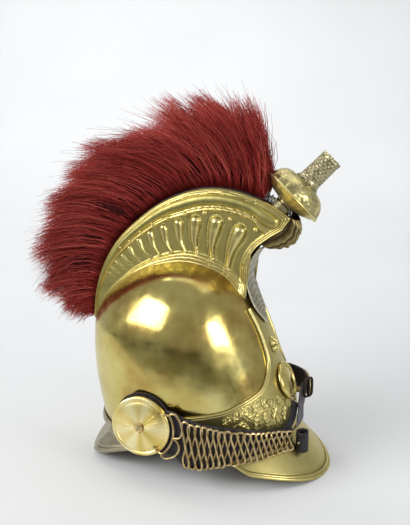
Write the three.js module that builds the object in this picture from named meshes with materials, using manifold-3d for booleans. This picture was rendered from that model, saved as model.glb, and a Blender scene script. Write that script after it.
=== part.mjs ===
// A crested brass helmet with an upright red hair crest, a plume holder and wire chin chains.
// Millimetres. +X is the front, +Y the wearer's left, +Z up; the floor is Z = 0.

import * as THREE from 'three';
import { mergeVertices } from 'three/addons/utils/BufferGeometryUtils.js';
import Module from 'manifold-3d';

const wasm = await Module();
wasm.setup();

const { lerp, clamp, degToRad, smoothstep } = THREE.MathUtils;

// Driving dimensions
const brassWall = 1.4;
const leatherWall = 1.8;
const seatGap = 0.3;
const onPlate = seatGap + brassWall + seatGap; // height over the skull of what lies on the front plate

// Skull: reach of the brass to the back and to the front, and half width, by height
const skullMidX = 2;
const skullSegments = 28;
const skullSections = [
  { z: 42, back: -98, front: 126, half: 87 },
  { z: 60, back: -102, front: 125, half: 90 },
  { z: 80, back: -106, front: 122, half: 92 },
  { z: 100, back: -109, front: 114.5, half: 94 },
  { z: 120, back: -110.5, front: 106.5, half: 95 },
  { z: 140, back: -110.5, front: 99, half: 95 },
  { z: 160, back: -108.5, front: 91.5, half: 93 },
  { z: 180, back: -99, front: 82.5, half: 88 },
  { z: 200, back: -80, front: 72, half: 78 },
  { z: 215, back: -60, front: 60, half: 65 },
  { z: 226, back: -39, front: 45, half: 49 },
  { z: 233, back: -17, front: 24, half: 28 },
  { z: 236, back: 0, front: 5, half: 4 },
];
const skullRimZ = 42;
const skullTopZ = 236.4;

// Front plate: half its sweep round the skull, in degrees, by height
const plateColumns = 18;
const plateRows = [
  { z: 44, sweep: 84 },
  { z: 60, sweep: 84 },
  { z: 74, sweep: 83 },
  { z: 76.5, sweep: 76 },
  { z: 79, sweep: 68 },
  { z: 84, sweep: 55 },
  { z: 91, sweep: 45 },
  { z: 101, sweep: 29.5 },
  { z: 113, sweep: 20 },
  { z: 126, sweep: 14 },
  { z: 145, sweep: 12.2 },
  { z: 166, sweep: 12.8 },
  { z: 186, sweep: 15 },
];
const plateSunk = 0.8; // how deep the plate is drawn into the skull before the skull trims it
const plateBead = { from: 0.9, height: 1.5 };
const plateLeaves = [
  { bearing: 12, z: 66, tilt: 20 },
  { bearing: 21, z: 58, tilt: -35 },
  { bearing: 24, z: 78, tilt: 55 },
  { bearing: 32, z: 68, tilt: 15 },
  { bearing: 41, z: 58, tilt: -30 },
  { bearing: 43, z: 73, tilt: 45 },
  { bearing: 54, z: 62, tilt: 5 },
];
const leaf = { long: 12, wide: 6, high: 1.8, sunk: 1.8 };
const disc = { z: 99.5, radius: 21.5, rise: 5 };

// Peak and neck guard
const peak = {
  rootZ: 46, midX: 55, reach: 111, half: 91, droop: 23.6, sweep: 88, rootShare: 0.72, crown: 1, endTaper: 0.7,
  dip: 1.6, // how far the rim would dip under the floor before its pad is flattened
};
const neckGuard = {
  rootBackZ: 53, rootSideZ: 45, sweep: 66, flare: 15, crown: 9.5, crownFrom: 0.1, crownTo: 0.84, endTaper: 0.7,
};
const neckRim = [
  { share: 0, z: 1 },
  { share: 0.2, z: -1 },
  { share: 0.34, z: -1 },
  { share: 0.47, z: 5 },
  { share: 0.64, z: 11 },
  { share: 0.82, z: 19 },
  { share: 1, z: 27 },
];
const peakSheetEnd = 0.9; // share of the way to the rim where the edging takes over
const neckSheetEnd = 0.9;
const peakColumns = 26;
const neckColumns = 20;
const edging = { proud: 1.2, nose: 2.2 };

// Crest: foot and top of each cross line from the rear to the prow, and half width at the top
const crestStations = [
  { footX: -107, footZ: 147, topX: -115, topZ: 153, half: 10 },
  { footX: -101, footZ: 163, topX: -110.5, topZ: 185, half: 12 },
  { footX: -87, footZ: 185, topX: -99, topZ: 219, half: 14 },
  { footX: -66, footZ: 204, topX: -81, topZ: 249, half: 15 },
  { footX: -41, footZ: 219, topX: -57, topZ: 273.5, half: 15.5 },
  { footX: -14, footZ: 228, topX: -26, topZ: 297, half: 16 },
  { footX: 14, footZ: 229, topX: 8, topZ: 312, half: 16 },
  { footX: 37, footZ: 224, topX: 36, topZ: 316.5, half: 16 },
  { footX: 56, footZ: 212, topX: 61, topZ: 314.5, half: 16 },
  { footX: 69, footZ: 206, topX: 80, topZ: 309.5, half: 16 },
  { footX: 73, footZ: 233, topX: 94, topZ: 305, half: 16 },
  { footX: 82, footZ: 252, topX: 105, topZ: 299.5, half: 15.5 },
  { footX: 97, footZ: 265, topX: 114, topZ: 294, half: 15 },
  { footX: 112, footZ: 275, topX: 121, topZ: 288.5, half: 14 },
];
// Crest side: how far each line of the moulding stands from the half width, from the foot to the rim
const crestMoulding = [
  { v: 0, out: 4.5 },
  { v: 0.18, out: 0.6 },
  { v: 0.42, out: -0.2 },
  { v: 0.6, out: -0.6 },
  { v: 0.73, out: -1 },
  { v: 0.83, out: 2.6 },
  { v: 0.92, out: 2 },
  { v: 1, out: 0 },
];
const crestSunk = 1.5; // how deep the foot is drawn into the skull before the skull trims it
const gadroons = { count: 9, firstPitch: 29, pitchRatio: 0.9, fromFront: 63, high: 6, halfWide: 0.36 };
const gadroonSwell = [
  { v: 0.1, rise: 0 },
  { v: 0.2, rise: 0.2 },
  { v: 0.42, rise: 0.5 },
  { v: 0.6, rise: 1 },
  { v: 0.7, rise: 0.1 },
  { v: 0.74, rise: 0 },
];
const gadroonLean = 0.08; // how far the foot of the front lobes falls back along the crest
const crestPlainShares = { rear: [0, 0.35, 0.7], front: [0.3, 0.55, 0.78, 1] };
const crestFrontLine = [
  { x: 87.6, z: 254.5, half: 15.8 },
  { x: 83.6, z: 250.6, half: 16 },
  { x: 74.2, z: 234, half: 16.5 },
  { x: 71.4, z: 216, half: 17 },
  { x: 75, z: 202, half: 17 },
  { x: 80.4, z: 188.5, half: 16.5 },
  { x: 84.4, z: 180.4, half: 13.5 },
  { x: 88.2, z: 172.4, half: 7.5 },
  { x: 91.4, z: 165, half: 1.5 },
];
const crestCap = { fromStation: 0.745, toStation: 0.985, steps: 6, under: 1.5, blankDepth: 30 };
const crestFrontBow = 1.6;
const palmette = { ribs: 5, endRise: 5, midRise: 17.5, half: 14, steps: 6, columns: 10 };
const palmetteBase = [
  new THREE.Vector3(122.2, 0, 288.6),
  new THREE.Vector3(113.1, 0, 275.1),
  new THREE.Vector3(102.1, 0, 266.9),
  new THREE.Vector3(91.6, 0, 258.9),
];

// Hair: where each lock is rooted along the crest, and where it ends
const hairLocks = [
  { root: 0.02, tipX: -136, tipZ: 156, wide: 11, half: 12 },
  { root: 0.065, tipX: -163, tipZ: 165, wide: 13, half: 15 },
  { root: 0.11, tipX: -181, tipZ: 181, wide: 14, half: 18 },
  { root: 0.16, tipX: -189, tipZ: 205, wide: 16, half: 20 },
  { root: 0.215, tipX: -185, tipZ: 235, wide: 18, half: 21 },
  { root: 0.27, tipX: -175, tipZ: 268, wide: 19, half: 22 },
  { root: 0.325, tipX: -158, tipZ: 298, wide: 20, half: 23 },
  { root: 0.38, tipX: -140, tipZ: 326, wide: 21, half: 24 },
  { root: 0.43, tipX: -110, tipZ: 353, wide: 21, half: 24 },
  { root: 0.48, tipX: -75, tipZ: 375, wide: 21, half: 24 },
  { root: 0.53, tipX: -40, tipZ: 393, wide: 20, half: 24 },
  { root: 0.58, tipX: -8, tipZ: 405, wide: 19, half: 23 },
  { root: 0.62, tipX: 20, tipZ: 412, wide: 18, half: 22 },
  { root: 0.655, tipX: 46, tipZ: 411, wide: 16, half: 20 },
  { root: 0.685, tipX: 68, tipZ: 404, wide: 14, half: 18 },
  { root: 0.7, tipX: 79, tipZ: 378, wide: 8, half: 16 },
];
const hairBacking = { from: 0.005, to: 0.735, below: 5, above: 3, half: 12, steps: 18 };
const lockSides = 5;
const lockWeave = 2.5; // sideways step of every other lock

// Plume holder: a bun-shaped bulb, seamed at its widest, and a tube on one leaning axis
const plumeFoot = new THREE.Vector3(108.4, -1.8, 298.6);
const plumeAxis = new THREE.Vector3(0.64, 0.34, 0.69).normalize();
const plumeStem = { radius: 9, length: 4.5, flange: 11, sunk: 8 };
const bulbHole = 6;
const bulbLine = [ // radius and height of the shell, from its foot to the collar of the tube
  { r: 12, h: 0 },
  { r: 20, h: 2.6 },
  { r: 28, h: 6.4 },
  { r: 34.4, h: 9 },
  { r: 35, h: 10.4 },
  { r: 33.8, h: 16 },
  { r: 31, h: 21.6 },
  { r: 27, h: 26 },
  { r: 21.5, h: 28.8 },
  { r: 15, h: 30 },
];
const tube = { footRadius: 14.4, neckRadius: 12.6, mouthRadius: 12, length: 39, wall: 1.4, floor: 6 };
const roundSides = 16;

// Rosettes and their bolts
const rosetteSides = 18;
const rosette = { x: -18.2, z: 65.9, back: 98.3, radius: 34, rise: 6.5, hole: 3.2 };
const bolt = { shank: 2.9, head: 5.5, proud: 2 };

// Chin chains: edges of the wire band from the rosette to its front end
const chainWire = 3.2;
const chainLinks = 14;
const chainGap = { wide: 0.56, high: 0.34, slant: 0.2, scallop: 0.04, rows: [0.28, 0.72] };
const rightChainLine = [
  { x: 17.6, y: 100, low: 36, high: 84 },
  { x: 30, y: 101, low: 27, high: 79.5 },
  { x: 50, y: 100.5, low: 26, high: 75 },
  { x: 67, y: 97.5, low: 29, high: 73 },
  { x: 84, y: 92.5, low: 33, high: 71 },
  { x: 101, y: 82, low: 34.5, high: 67.5 },
  { x: 113, y: 68, low: 34.5, high: 63.5 },
  { x: 124, y: 51, low: 35.4, high: 59.5 },
  { x: 135, y: 33, low: 34, high: 55 },
];
const leftChainLine = [
  { x: 17.6, y: 100, low: 37, high: 83 },
  { x: 30, y: 101, low: 36, high: 82 },
  { x: 50, y: 100.5, low: 39, high: 82 },
  { x: 67, y: 97.5, low: 43, high: 83 },
  { x: 84, y: 92, low: 48, high: 85 },
  { x: 101, y: 81, low: 55, high: 88 },
  { x: 114, y: 67, low: 62, high: 91 },
  { x: 127, y: 47, low: 70, high: 95 },
  { x: 137.5, y: 23, low: 77, high: 98 },
];
const lining = { steps: 18, over: 2.5, inset: chainWire / 2 + seatGap, startX: -11, tuck: 1.4, lift: 6 };

// Strap, its free end, its keeper loop and the buckle
const strap = { wide: 10, steps: 8 };
const strapLine = [
  new THREE.Vector3(122.5, -34, 50),
  new THREE.Vector3(127, -24, 57),
  new THREE.Vector3(128.6, -14, 65),
  new THREE.Vector3(128.2, -7, 72),
  new THREE.Vector3(127.6, -2.5, 77),
];
const strapEndLine = [
  new THREE.Vector3(135, 12.4, 95),
  new THREE.Vector3(133, 10.5, 84),
  new THREE.Vector3(132.6, 9, 77.5),
  new THREE.Vector3(133.2, 2, 71),
  new THREE.Vector3(135.4, -6, 65),
  new THREE.Vector3(135, -16, 55.5),
];
const strapFacing = new THREE.Vector3(0.86, -0.42, 0.1);
const buckleAcross = new THREE.Vector3(0.42, 0.86, 0).normalize();
const buckleFacing = new THREE.Vector3(0.86, -0.42, 0).normalize();
const keeper = { x: 142.6, y: -24.5, z: 30, radiusX: 6.8, radiusY: 8, high: 23 };
const buckle = { x: 138.5, y: 13, z: 90, wide: 16, high: 24, bar: 3 };

const finishes = {
  polishedBrass: new THREE.MeshStandardMaterial({ color: '#b9a552', roughness: 0.22, metalness: 1 }),
  stampedBrass: new THREE.MeshStandardMaterial({ color: '#a6954b', roughness: 0.36, metalness: 1 }),
  agedBrass: new THREE.MeshStandardMaterial({ color: '#8f8560', roughness: 0.42, metalness: 1 }),
  wireBrass: new THREE.MeshStandardMaterial({ color: '#a78c55', roughness: 0.35, metalness: 1 }),
  darkSteel: new THREE.MeshStandardMaterial({ color: '#3a3430', roughness: 0.5, metalness: 0.8 }),
  blackLeather: new THREE.MeshStandardMaterial({ color: '#37323a', roughness: 0.6, metalness: 0 }),
  redHair: new THREE.MeshStandardMaterial({ color: '#8e2328', roughness: 0.7, metalness: 0 }),
};

const helmet = new THREE.Group();

function addPiece(name, geometry, finish) {
  const piece = new THREE.Mesh(geometry, finishes[finish]);
  piece.name = name;
  helmet.add(piece);
}

// Smooth reading of one column of a table whose key column rises
function readTable(rows, key, column, at) {
  const last = rows.length - 1;
  const above = rows.findIndex((row) => row[key] > at);
  const i = clamp((above < 0 ? last : above) - 1, 0, last - 1);
  const slopeAt = (k) => {
    const before = rows[Math.max(k - 1, 0)];
    const after = rows[Math.min(k + 1, last)];
    return (after[column] - before[column]) / (after[key] - before[key]);
  };
  const span = rows[i + 1][key] - rows[i][key];
  const t = clamp((at - rows[i][key]) / span, 0, 1);
  const s = 1 - t;
  const ends = rows[i][column] * s * s * (1 + 2 * t) + rows[i + 1][column] * t * t * (3 - 2 * t);
  return ends + span * (slopeAt(i) * s * s * t - slopeAt(i + 1) * t * t * s);
}

function signedVolume(geometry) {
  const place = geometry.attributes.position;
  const corners = [0, 1, 2].map(() => new THREE.Vector3());
  let volume = 0;
  for (let i = 0; i < geometry.index.count; i += 3) {
    corners.forEach((corner, k) => corner.fromBufferAttribute(place, geometry.index.getX(i + k)));
    volume += corners[0].dot(corners[1].clone().cross(corners[2])) / 6;
  }
  return volume;
}

function faceOut(geometry) {
  if (signedVolume(geometry) < 0) geometry.index.array.reverse();
  return geometry;
}

// Moves every vertex of a closed three.js shape to the place that a function gives it
function warp(shape, toPlace) {
  shape.deleteAttribute('normal');
  shape.deleteAttribute('uv');
  const merged = mergeVertices(shape, 1e-5);
  const place = merged.attributes.position;
  for (let i = 0; i < place.count; i += 1) {
    const moved = toPlace(new THREE.Vector3().fromBufferAttribute(place, i));
    place.setXYZ(i, moved.x, moved.y, moved.z);
  }
  return faceOut(merged);
}

// A sheet as a warped block: u and v run from 0 to 1 over it, w from its inner to its outer face
function sheet(columns, rows, toPlace) {
  const block = new THREE.BoxGeometry(1, 1, 1, columns, rows, 1);
  return warp(block, (p) => toPlace(p.x + 0.5, p.y + 0.5, p.z + 0.5));
}

// A closed body through rings of equal counts, closed at each end by a fan to a point
function loft(rings, startPoint, endPoint) {
  const count = rings[0].length;
  const points = [...rings.flat(), startPoint, endPoint];
  const startAt = rings.length * count;
  const endAt = startAt + 1;
  const faces = [];
  for (let k = 0; k < count; k += 1) {
    const next = (k + 1) % count;
    faces.push(startAt, next, k);
    for (let r = 0; r < rings.length - 1; r += 1) {
      const here = r * count;
      const there = here + count;
      faces.push(here + k, here + next, there + next, here + k, there + next, there + k);
    }
    const lastRing = startAt - count;
    faces.push(endAt, lastRing + k, lastRing + next);
  }
  const geometry = new THREE.BufferGeometry().setFromPoints(points);
  geometry.setIndex(faces);
  return faceOut(geometry);
}

function middleOf(points) {
  return points.reduce((sum, p) => sum.add(p), new THREE.Vector3()).divideScalar(points.length);
}

function cappedLoft(rings) {
  return loft(rings, middleOf(rings[0]), middleOf(rings[rings.length - 1]));
}

function toSolid(geometry) {
  return new wasm.Manifold(new wasm.Mesh({
    numProp: 3,
    vertProperties: new Float32Array(geometry.attributes.position.array),
    triVerts: new Uint32Array(geometry.index.array),
  }));
}

function toGeometry(solid) {
  const mesh = solid.getMesh();
  const geometry = new THREE.BufferGeometry();
  geometry.setAttribute('position', new THREE.BufferAttribute(new Float32Array(mesh.vertProperties), 3));
  geometry.setIndex([...mesh.triVerts]);
  return geometry;
}

function fuse(geometries) {
  return geometries.map(toSolid).reduce((whole, solid) => whole.add(solid));
}

// A shape of revolution whose axis starts at a place and points along a direction
function turned(profile, sides, place, direction) {
  const lathe = new THREE.LatheGeometry(profile.map(([r, h]) => new THREE.Vector2(r, h)), sides);
  const turn = new THREE.Quaternion().setFromUnitVectors(new THREE.Vector3(0, 1, 0), direction);
  return warp(lathe, (p) => p.applyQuaternion(turn).add(place));
}

// A point of the skull at a height and a bearing (0 front, 90 left), lifted off the brass by out
function skullPoint(z, bearing, out = 0) {
  const ahead = Math.cos(degToRad(bearing));
  const aside = Math.sin(degToRad(bearing));
  const side = ahead > 0 ? 'front' : 'back';
  const reachAt = (height) => Math.abs(readTable(skullSections, 'z', side, height) - skullMidX);
  const halfAt = (height) => readTable(skullSections, 'z', 'half', height);
  const spanAt = (height) => Math.hypot(reachAt(height) * ahead, halfAt(height) * aside);
  const lean = Math.atan(spanAt(z - 0.5) - spanAt(z + 0.5));
  const lift = out * Math.cos(lean);
  return new THREE.Vector3(
    skullMidX + (reachAt(z) + lift) * ahead,
    (halfAt(z) + lift) * aside,
    z + out * Math.sin(lean),
  );
}

function insideSkull(place, gap) {
  const z = place.z - gap;
  const side = place.x > skullMidX ? 'front' : 'back';
  const reach = Math.abs(readTable(skullSections, 'z', side, z) - skullMidX);
  const half = readTable(skullSections, 'z', 'half', z);
  return z < skullTopZ && Math.hypot((place.x - skullMidX) / (reach + gap), place.y / (half + gap)) < 1;
}

function skullRing(z, out) {
  return Array.from({ length: skullSegments }, (_, k) => skullPoint(z, (k * 360) / skullSegments, out));
}

function skullPole(out) {
  return new THREE.Vector3(skullMidX, 0, skullTopZ + out);
}

const outerHeights = [skullRimZ, 60, 80, 100, 120, 140, 159, 177, 193, 207, 218, 226, 232];
const innerHeights = [skullRimZ, 85, 130, 163, 190, 210, 223, 231];

function makeSkull() {
  const outer = outerHeights.map((z) => skullRing(z, 0)).reverse();
  const inner = innerHeights.map((z) => skullRing(z, -brassWall));
  return loft([...outer, ...inner], skullPole(0), skullPole(-brassWall));
}

// The filled skull with its seat gap, which trims what stands on the skull
function skullBlank() {
  const rings = outerHeights.map((z) => skullRing(z, seatGap)).reverse();
  return toSolid(loft(rings, skullPole(seatGap), middleOf(rings[rings.length - 1])));
}

function platePoint(z, share, out) {
  return skullPoint(z, share * readTable(plateRows, 'z', 'sweep', z), out);
}

function makePlate() {
  const rowZ = plateRows.map((row) => row.z);
  const columnShare = (u) => {
    const share = 2 * u - 1;
    const edge = 1 - 2 / plateColumns;
    return Math.abs(share) < edge + 0.01 ? (share / edge) * plateBead.from : share;
  };
  const body = sheet(plateColumns, rowZ.length - 1, (u, v, w) => {
    const z = rowZ[Math.round(v * (rowZ.length - 1))];
    const share = columnShare(u);
    const bead = Math.abs(share) > plateBead.from && z > plateRows[2].z ? plateBead.height : 0;
    return platePoint(z, share, lerp(-plateSunk, seatGap + brassWall + bead, w));
  });
  const leaves = [];
  for (const side of [-1, 1]) {
    for (const { bearing, z, tilt } of plateLeaves) leaves.push(makeLeaf(side * bearing, z, side * tilt));
  }
  return toGeometry(fuse([body, ...leaves]).subtract(skullBlank()));
}

function makeLeaf(bearing, z, tilt) {
  const centre = skullPoint(z, bearing, seatGap + brassWall);
  const out = skullPoint(z, bearing, seatGap + brassWall + 1).sub(centre).normalize();
  const across = new THREE.Vector3(0, 0, 1).cross(out).normalize().applyAxisAngle(out, degToRad(tilt));
  const up = out.clone().cross(across);
  const pod = new THREE.SphereGeometry(1, 4, 2);
  return warp(pod, (p) => centre.clone()
    .addScaledVector(across, p.x * leaf.long * 0.5)
    .addScaledVector(up, p.z * leaf.wide * 0.5)
    .addScaledVector(out, p.y * (p.y > 0 ? leaf.high : leaf.sunk)));
}

function makeDisc() {
  const seat = skullPoint(disc.z, 0, onPlate);
  const out = skullPoint(disc.z, 0, onPlate + 1).sub(seat).normalize();
  const profile = [
    [0, 0], [disc.radius, 0], [disc.radius, 1.8], [disc.radius - 1.5, 3],
    [disc.radius - 5, 2.6], [disc.radius * 0.45, disc.rise * 0.9], [0, disc.rise],
  ];
  return turned(profile, roundSides, seat, out);
}

// Peak: from a line round the front of the skull out to a drooping rim
function peakPoint(across, down, out) {
  const angle = degToRad(across * peak.sweep);
  const root = skullPoint(peak.rootZ, across * peak.sweep * peak.rootShare, onPlate + brassWall);
  const rim = new THREE.Vector3(
    peak.midX + peak.reach * Math.cos(angle),
    peak.half * Math.sin(angle),
    edging.proud - peak.dip + peak.droop * Math.sin(angle) ** 2,
  );
  const taper = 1 - peak.endTaper * smoothstep(Math.abs(across), 0.72, 1);
  const place = root.clone().lerp(rim, down * taper);
  place.z += peak.crown * Math.sin(Math.PI * down) * taper;
  const fall = rim.clone().sub(root).normalize();
  const side = new THREE.Vector3(-Math.sin(angle), Math.cos(angle), 0);
  return place.addScaledVector(fall.cross(side).normalize(), out);
}

function makePeak() {
  return sheet(peakColumns, 3, (u, v, w) => peakPoint(2 * u - 1, v * peakSheetEnd, (w - 1) * brassWall));
}

// A thick peak with its seat gap, which trims what stands on the peak
function peakBlank() {
  const depth = brassWall * 8;
  return toSolid(sheet(peakColumns, 3, (u, v, w) => {
    return peakPoint(2 * u - 1, v * peakSheetEnd, lerp(-depth, seatGap, w));
  }));
}

// Neck guard: flares down and back from the rim of the skull
function neckPoint(across, down, out) {
  const bearing = 180 + across * neckGuard.sweep;
  const ease = Math.abs(across);
  const rootZ = lerp(neckGuard.rootBackZ, neckGuard.rootSideZ, ease);
  const root = skullPoint(rootZ, bearing, seatGap + brassWall);
  const spread = neckGuard.flare * (1 - neckGuard.endTaper * smoothstep(ease, 0.5, 1));
  const rim = skullPoint(skullRimZ, bearing, seatGap + spread);
  rim.z = edging.proud + readTable(neckRim, 'share', 'z', ease);
  const place = root.clone().lerp(rim, down);
  const outward = new THREE.Vector3(Math.cos(degToRad(bearing)), Math.sin(degToRad(bearing)), 0);
  const bowed = Math.sin(Math.PI * smoothstep(down, neckGuard.crownFrom, neckGuard.crownTo));
  place.addScaledVector(outward, -neckGuard.crown * bowed);
  const facing = outward.clone().setZ(0.4).normalize();
  return place.addScaledVector(facing, out);
}

function makeNeckGuard() {
  return sheet(neckColumns, 5, (u, v, w) => neckPoint(2 * u - 1, v * neckSheetEnd, (w - 1) * brassWall));
}

// Rolled edging past the rim of a sheet, with flat pads where it would dip to the floor
function makeEdging(pointAt, from, steps) {
  const rings = [];
  for (let k = 0; k <= steps; k += 1) {
    const across = (2 * k) / steps - 1;
    const start = pointAt(across, from, 0);
    const rim = pointAt(across, 1, 0);
    const run = rim.clone().sub(start).normalize();
    const up = pointAt(across, 1, 1).sub(rim);
    const seat = start.clone().addScaledVector(run, seatGap);
    const ring = [
      seat.clone().addScaledVector(up, edging.proud),
      rim.clone().addScaledVector(up, edging.proud),
      rim.clone().addScaledVector(run, edging.nose),
      rim.clone().addScaledVector(up, -brassWall - edging.proud).addScaledVector(run, -0.6),
      seat.clone().addScaledVector(up, -brassWall - edging.proud),
    ];
    ring.forEach((p) => { p.z = Math.max(p.z, 0); });
    rings.push(ring);
  }
  return cappedLoft(rings);
}

// Crest: both edges as curves over one parameter, from the rear (0) to the prow (1)
const footPoints = crestStations.map((s) => new THREE.Vector3(s.footX, 0, s.footZ));
const topPoints = crestStations.map((s) => new THREE.Vector3(s.topX, 0, s.topZ));
const middlePoints = footPoints.map((foot, k) => foot.clone().lerp(topPoints[k], 0.5));
const crestFoot = new THREE.CatmullRomCurve3(footPoints);
const crestTop = new THREE.CatmullRomCurve3(topPoints);
const crestMiddle = new THREE.CatmullRomCurve3(middlePoints);

function crestHalf(t) {
  const rows = crestStations.map((s, k) => ({ t: k / (crestStations.length - 1), half: s.half }));
  return readTable(rows, 't', 'half', t);
}

function crestPoint(t, v, side, out) {
  const inFront = smoothstep(t, 0.4, 0.65) * (1 - smoothstep(t, 0.7, 0.8));
  const lean = gadroonLean * inFront * Math.max(0.6 - v, 0);
  const foot = crestFoot.getPoint(t - lean);
  const top = crestTop.getPoint(t - lean);
  const depth = smoothstep(top.distanceTo(foot), 8, 45);
  const place = foot.lerp(top, v);
  place.y = side * (crestHalf(t) + depth * readTable(crestMoulding, 'v', 'out', v) + out);
  return place;
}

// Where the foot of the crest side meets the skull, as a share of the line from foot to top
function crestSeat(t) {
  let v = 0;
  while (v < 0.5 && insideSkull(crestPoint(t, v, 1, 0), -crestSunk)) v += 0.004;
  return v;
}

// Lobes from the rear to the front: the two edges and the ridge of each along the crest, and its height
function gadroonPlaces() {
  const whole = crestMiddle.getLength();
  const stationAt = (run) => crestMiddle.getUtoTmapping(run / whole);
  let run = whole - gadroons.fromFront;
  let pitch = gadroons.firstPitch;
  const places = Array.from({ length: gadroons.count }, () => {
    const half = pitch * gadroons.halfWide;
    const place = {
      from: stationAt(run - half),
      ridge: stationAt(run),
      to: stationAt(run + half),
      high: gadroons.high * Math.sqrt(pitch / gadroons.firstPitch),
    };
    run -= pitch * (1 + gadroons.pitchRatio) * 0.5;
    pitch *= gadroons.pitchRatio;
    return place;
  });
  return places.reverse();
}

// The side is one stamped sheet: a ridge line down each lobe, and a plain strip between lobes
function makeCrestSide(side) {
  const places = gadroonPlaces();
  const columns = crestPlainShares.rear.map((share) => ({ t: share * places[0].from, high: 0 }));
  places.forEach(({ from, ridge, to, high }) => {
    columns.push({ t: from, high: 0 }, { t: ridge, high }, { t: to, high: 0 });
  });
  const front = places[places.length - 1].to;
  crestPlainShares.front.forEach((share) => columns.push({ t: lerp(front, 1, share), high: 0 }));
  const lines = crestMoulding.map((row) => row.v);
  const stamped = sheet(columns.length - 1, lines.length - 1, (u, v, w) => {
    const { t, high } = columns[Math.round(u * (columns.length - 1))];
    const line = lerp(crestSeat(t), 1, lines[Math.round(v * (lines.length - 1))]);
    const swell = high * readTable(gadroonSwell, 'v', 'rise', line);
    return crestPoint(t, line, side, swell + (w - 1) * brassWall);
  });
  return toGeometry(toSolid(stamped).subtract(skullBlank()));
}

// Front strip of the crest, from under the prow down to a tongue over the front plate
function makeCrestFront() {
  const line = new THREE.CatmullRomCurve3(crestFrontLine.map((row) => new THREE.Vector3(row.x, 0, row.z)));
  const halves = crestFrontLine.map((row, k) => ({ t: k / (crestFrontLine.length - 1), half: row.half }));
  return sheet(4, 12, (u, v, w) => {
    const share = 2 * u - 1;
    const place = line.getPoint(v);
    const run = line.getTangent(v);
    const out = new THREE.Vector3(-run.z, 0, run.x);
    const bow = crestFrontBow * (1 - share * share);
    place.addScaledVector(out, w * brassWall + bow);
    place.y = share * readTable(halves, 't', 'half', v);
    return place;
  });
}

// Cap that closes the crest between its sides, from the hair to the prow
function crestCapSheet(lift, depth) {
  return sheet(2, crestCap.steps, (u, v, w) => {
    const t = lerp(crestCap.fromStation, crestCap.toStation, v);
    const place = crestTop.getPoint(t);
    const inner = crestHalf(t) - brassWall - seatGap;
    place.y = (2 * u - 1) * inner;
    place.z += lift - crestCap.under + (w - 1) * depth;
    return place;
  });
}

// Ribbed palmette under the prow
function makePalmette() {
  const line = new THREE.CatmullRomCurve3(palmetteBase);
  return sheet(palmette.columns, palmette.steps, (u, v, w) => {
    const share = 2 * u - 1;
    const swell = Math.sin(Math.PI * v) ** 0.7;
    const rib = 1 + 0.1 * Math.cos(share * Math.PI * palmette.ribs * 0.5);
    const round = Math.sqrt(1 - 0.92 * share * share);
    const run = line.getTangent(v);
    const rise = lerp(palmette.endRise, palmette.midRise, swell) * round * rib;
    const place = line.getPoint(v).addScaledVector(new THREE.Vector3(-run.z, 0, run.x), seatGap + w * rise);
    place.y = share * palmette.half * (0.6 + 0.4 * swell);
    return place;
  });
}

// Hair: a backing in the channel of the crest, and locks that fan out of it
function makeHair() {
  const backing = sheet(2, hairBacking.steps, (u, v, w) => {
    const t = lerp(hairBacking.from, hairBacking.to, v);
    const place = crestTop.getPoint(t);
    const run = crestTop.getTangent(t);
    const up = new THREE.Vector3(-run.z, 0, run.x);
    place.addScaledVector(up, lerp(-hairBacking.below, hairBacking.above, w));
    place.y = (2 * u - 1) * Math.min(hairBacking.half, crestHalf(t) - brassWall - seatGap * 2);
    return place;
  });
  const locks = hairLocks.map((lock, k) => makeLock(lock, k));
  return toGeometry(fuse([backing, ...locks]));
}

function makeLock({ root, tipX, tipZ, wide, half }, k) {
  const start = crestTop.getPoint(root);
  const run = crestTop.getTangent(root);
  const up = new THREE.Vector3(-run.z, 0, run.x);
  start.addScaledVector(up, 1);
  const tip = new THREE.Vector3(tipX, 0, tipZ);
  const length = tip.distanceTo(start);
  const bend = start.clone().addScaledVector(up, length * 0.5);
  const line = new THREE.QuadraticBezierCurve3(start, bend, tip);
  const weave = (k % 2 ? 1 : -1) * lockWeave;
  const sections = [
    { t: 0, spread: 0.8, thick: Math.min(10, crestHalf(root) - 3) },
    { t: 0.5, spread: 1, thick: half },
    { t: 0.93, spread: 0.8, thick: half * 0.85 },
  ];
  const rings = sections.map(({ t, spread, thick }) => {
    const centre = line.getPoint(t);
    const along = line.getTangent(t);
    const across = new THREE.Vector3(along.z, 0, -along.x);
    return Array.from({ length: lockSides }, (_, n) => {
      const angle = ((n + 0.5) * Math.PI * 2) / lockSides;
      const place = centre.clone().addScaledVector(across, Math.cos(angle) * wide * spread);
      place.y = Math.sin(angle) * thick + weave * t;
      return place;
    });
  });
  return loft(rings, middleOf(rings[0]), tip.setY(weave));
}

// Plume holder
const alongPlume = (distance) => plumeFoot.clone().addScaledVector(plumeAxis, distance);
const bulbStart = plumeStem.length + seatGap;
const tubeStart = bulbStart + bulbLine.at(-1).h + seatGap;

function makePlumeStem() {
  const { radius, length, flange, sunk } = plumeStem;
  const profile = [[0, -sunk], [flange, -sunk], [flange, 2], [radius, 3.5], [radius, length], [0, length]];
  const stem = toSolid(turned(profile, 16, plumeFoot, plumeAxis));
  return toGeometry(stem.subtract(toSolid(crestCapSheet(seatGap, crestCap.blankDepth))));
}

function makeBulb() {
  const whole = bulbLine.at(-1).h;
  const lining = bulbLine.slice(1, -1).map(({ r, h }, k) => {
    const before = bulbLine[k];
    const after = bulbLine[k + 2];
    const run = new THREE.Vector2(after.r - before.r, after.h - before.h).normalize();
    return [r - run.y * brassWall, h + run.x * brassWall];
  });
  const profile = [
    [bulbHole, 0], ...bulbLine.map(({ r, h }) => [r, h]), [bulbHole, whole], [bulbHole, whole - brassWall],
    ...lining.reverse(), [bulbHole, brassWall], [bulbHole, 0],
  ];
  return turned(profile, roundSides, alongPlume(bulbStart), plumeAxis);
}

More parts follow.
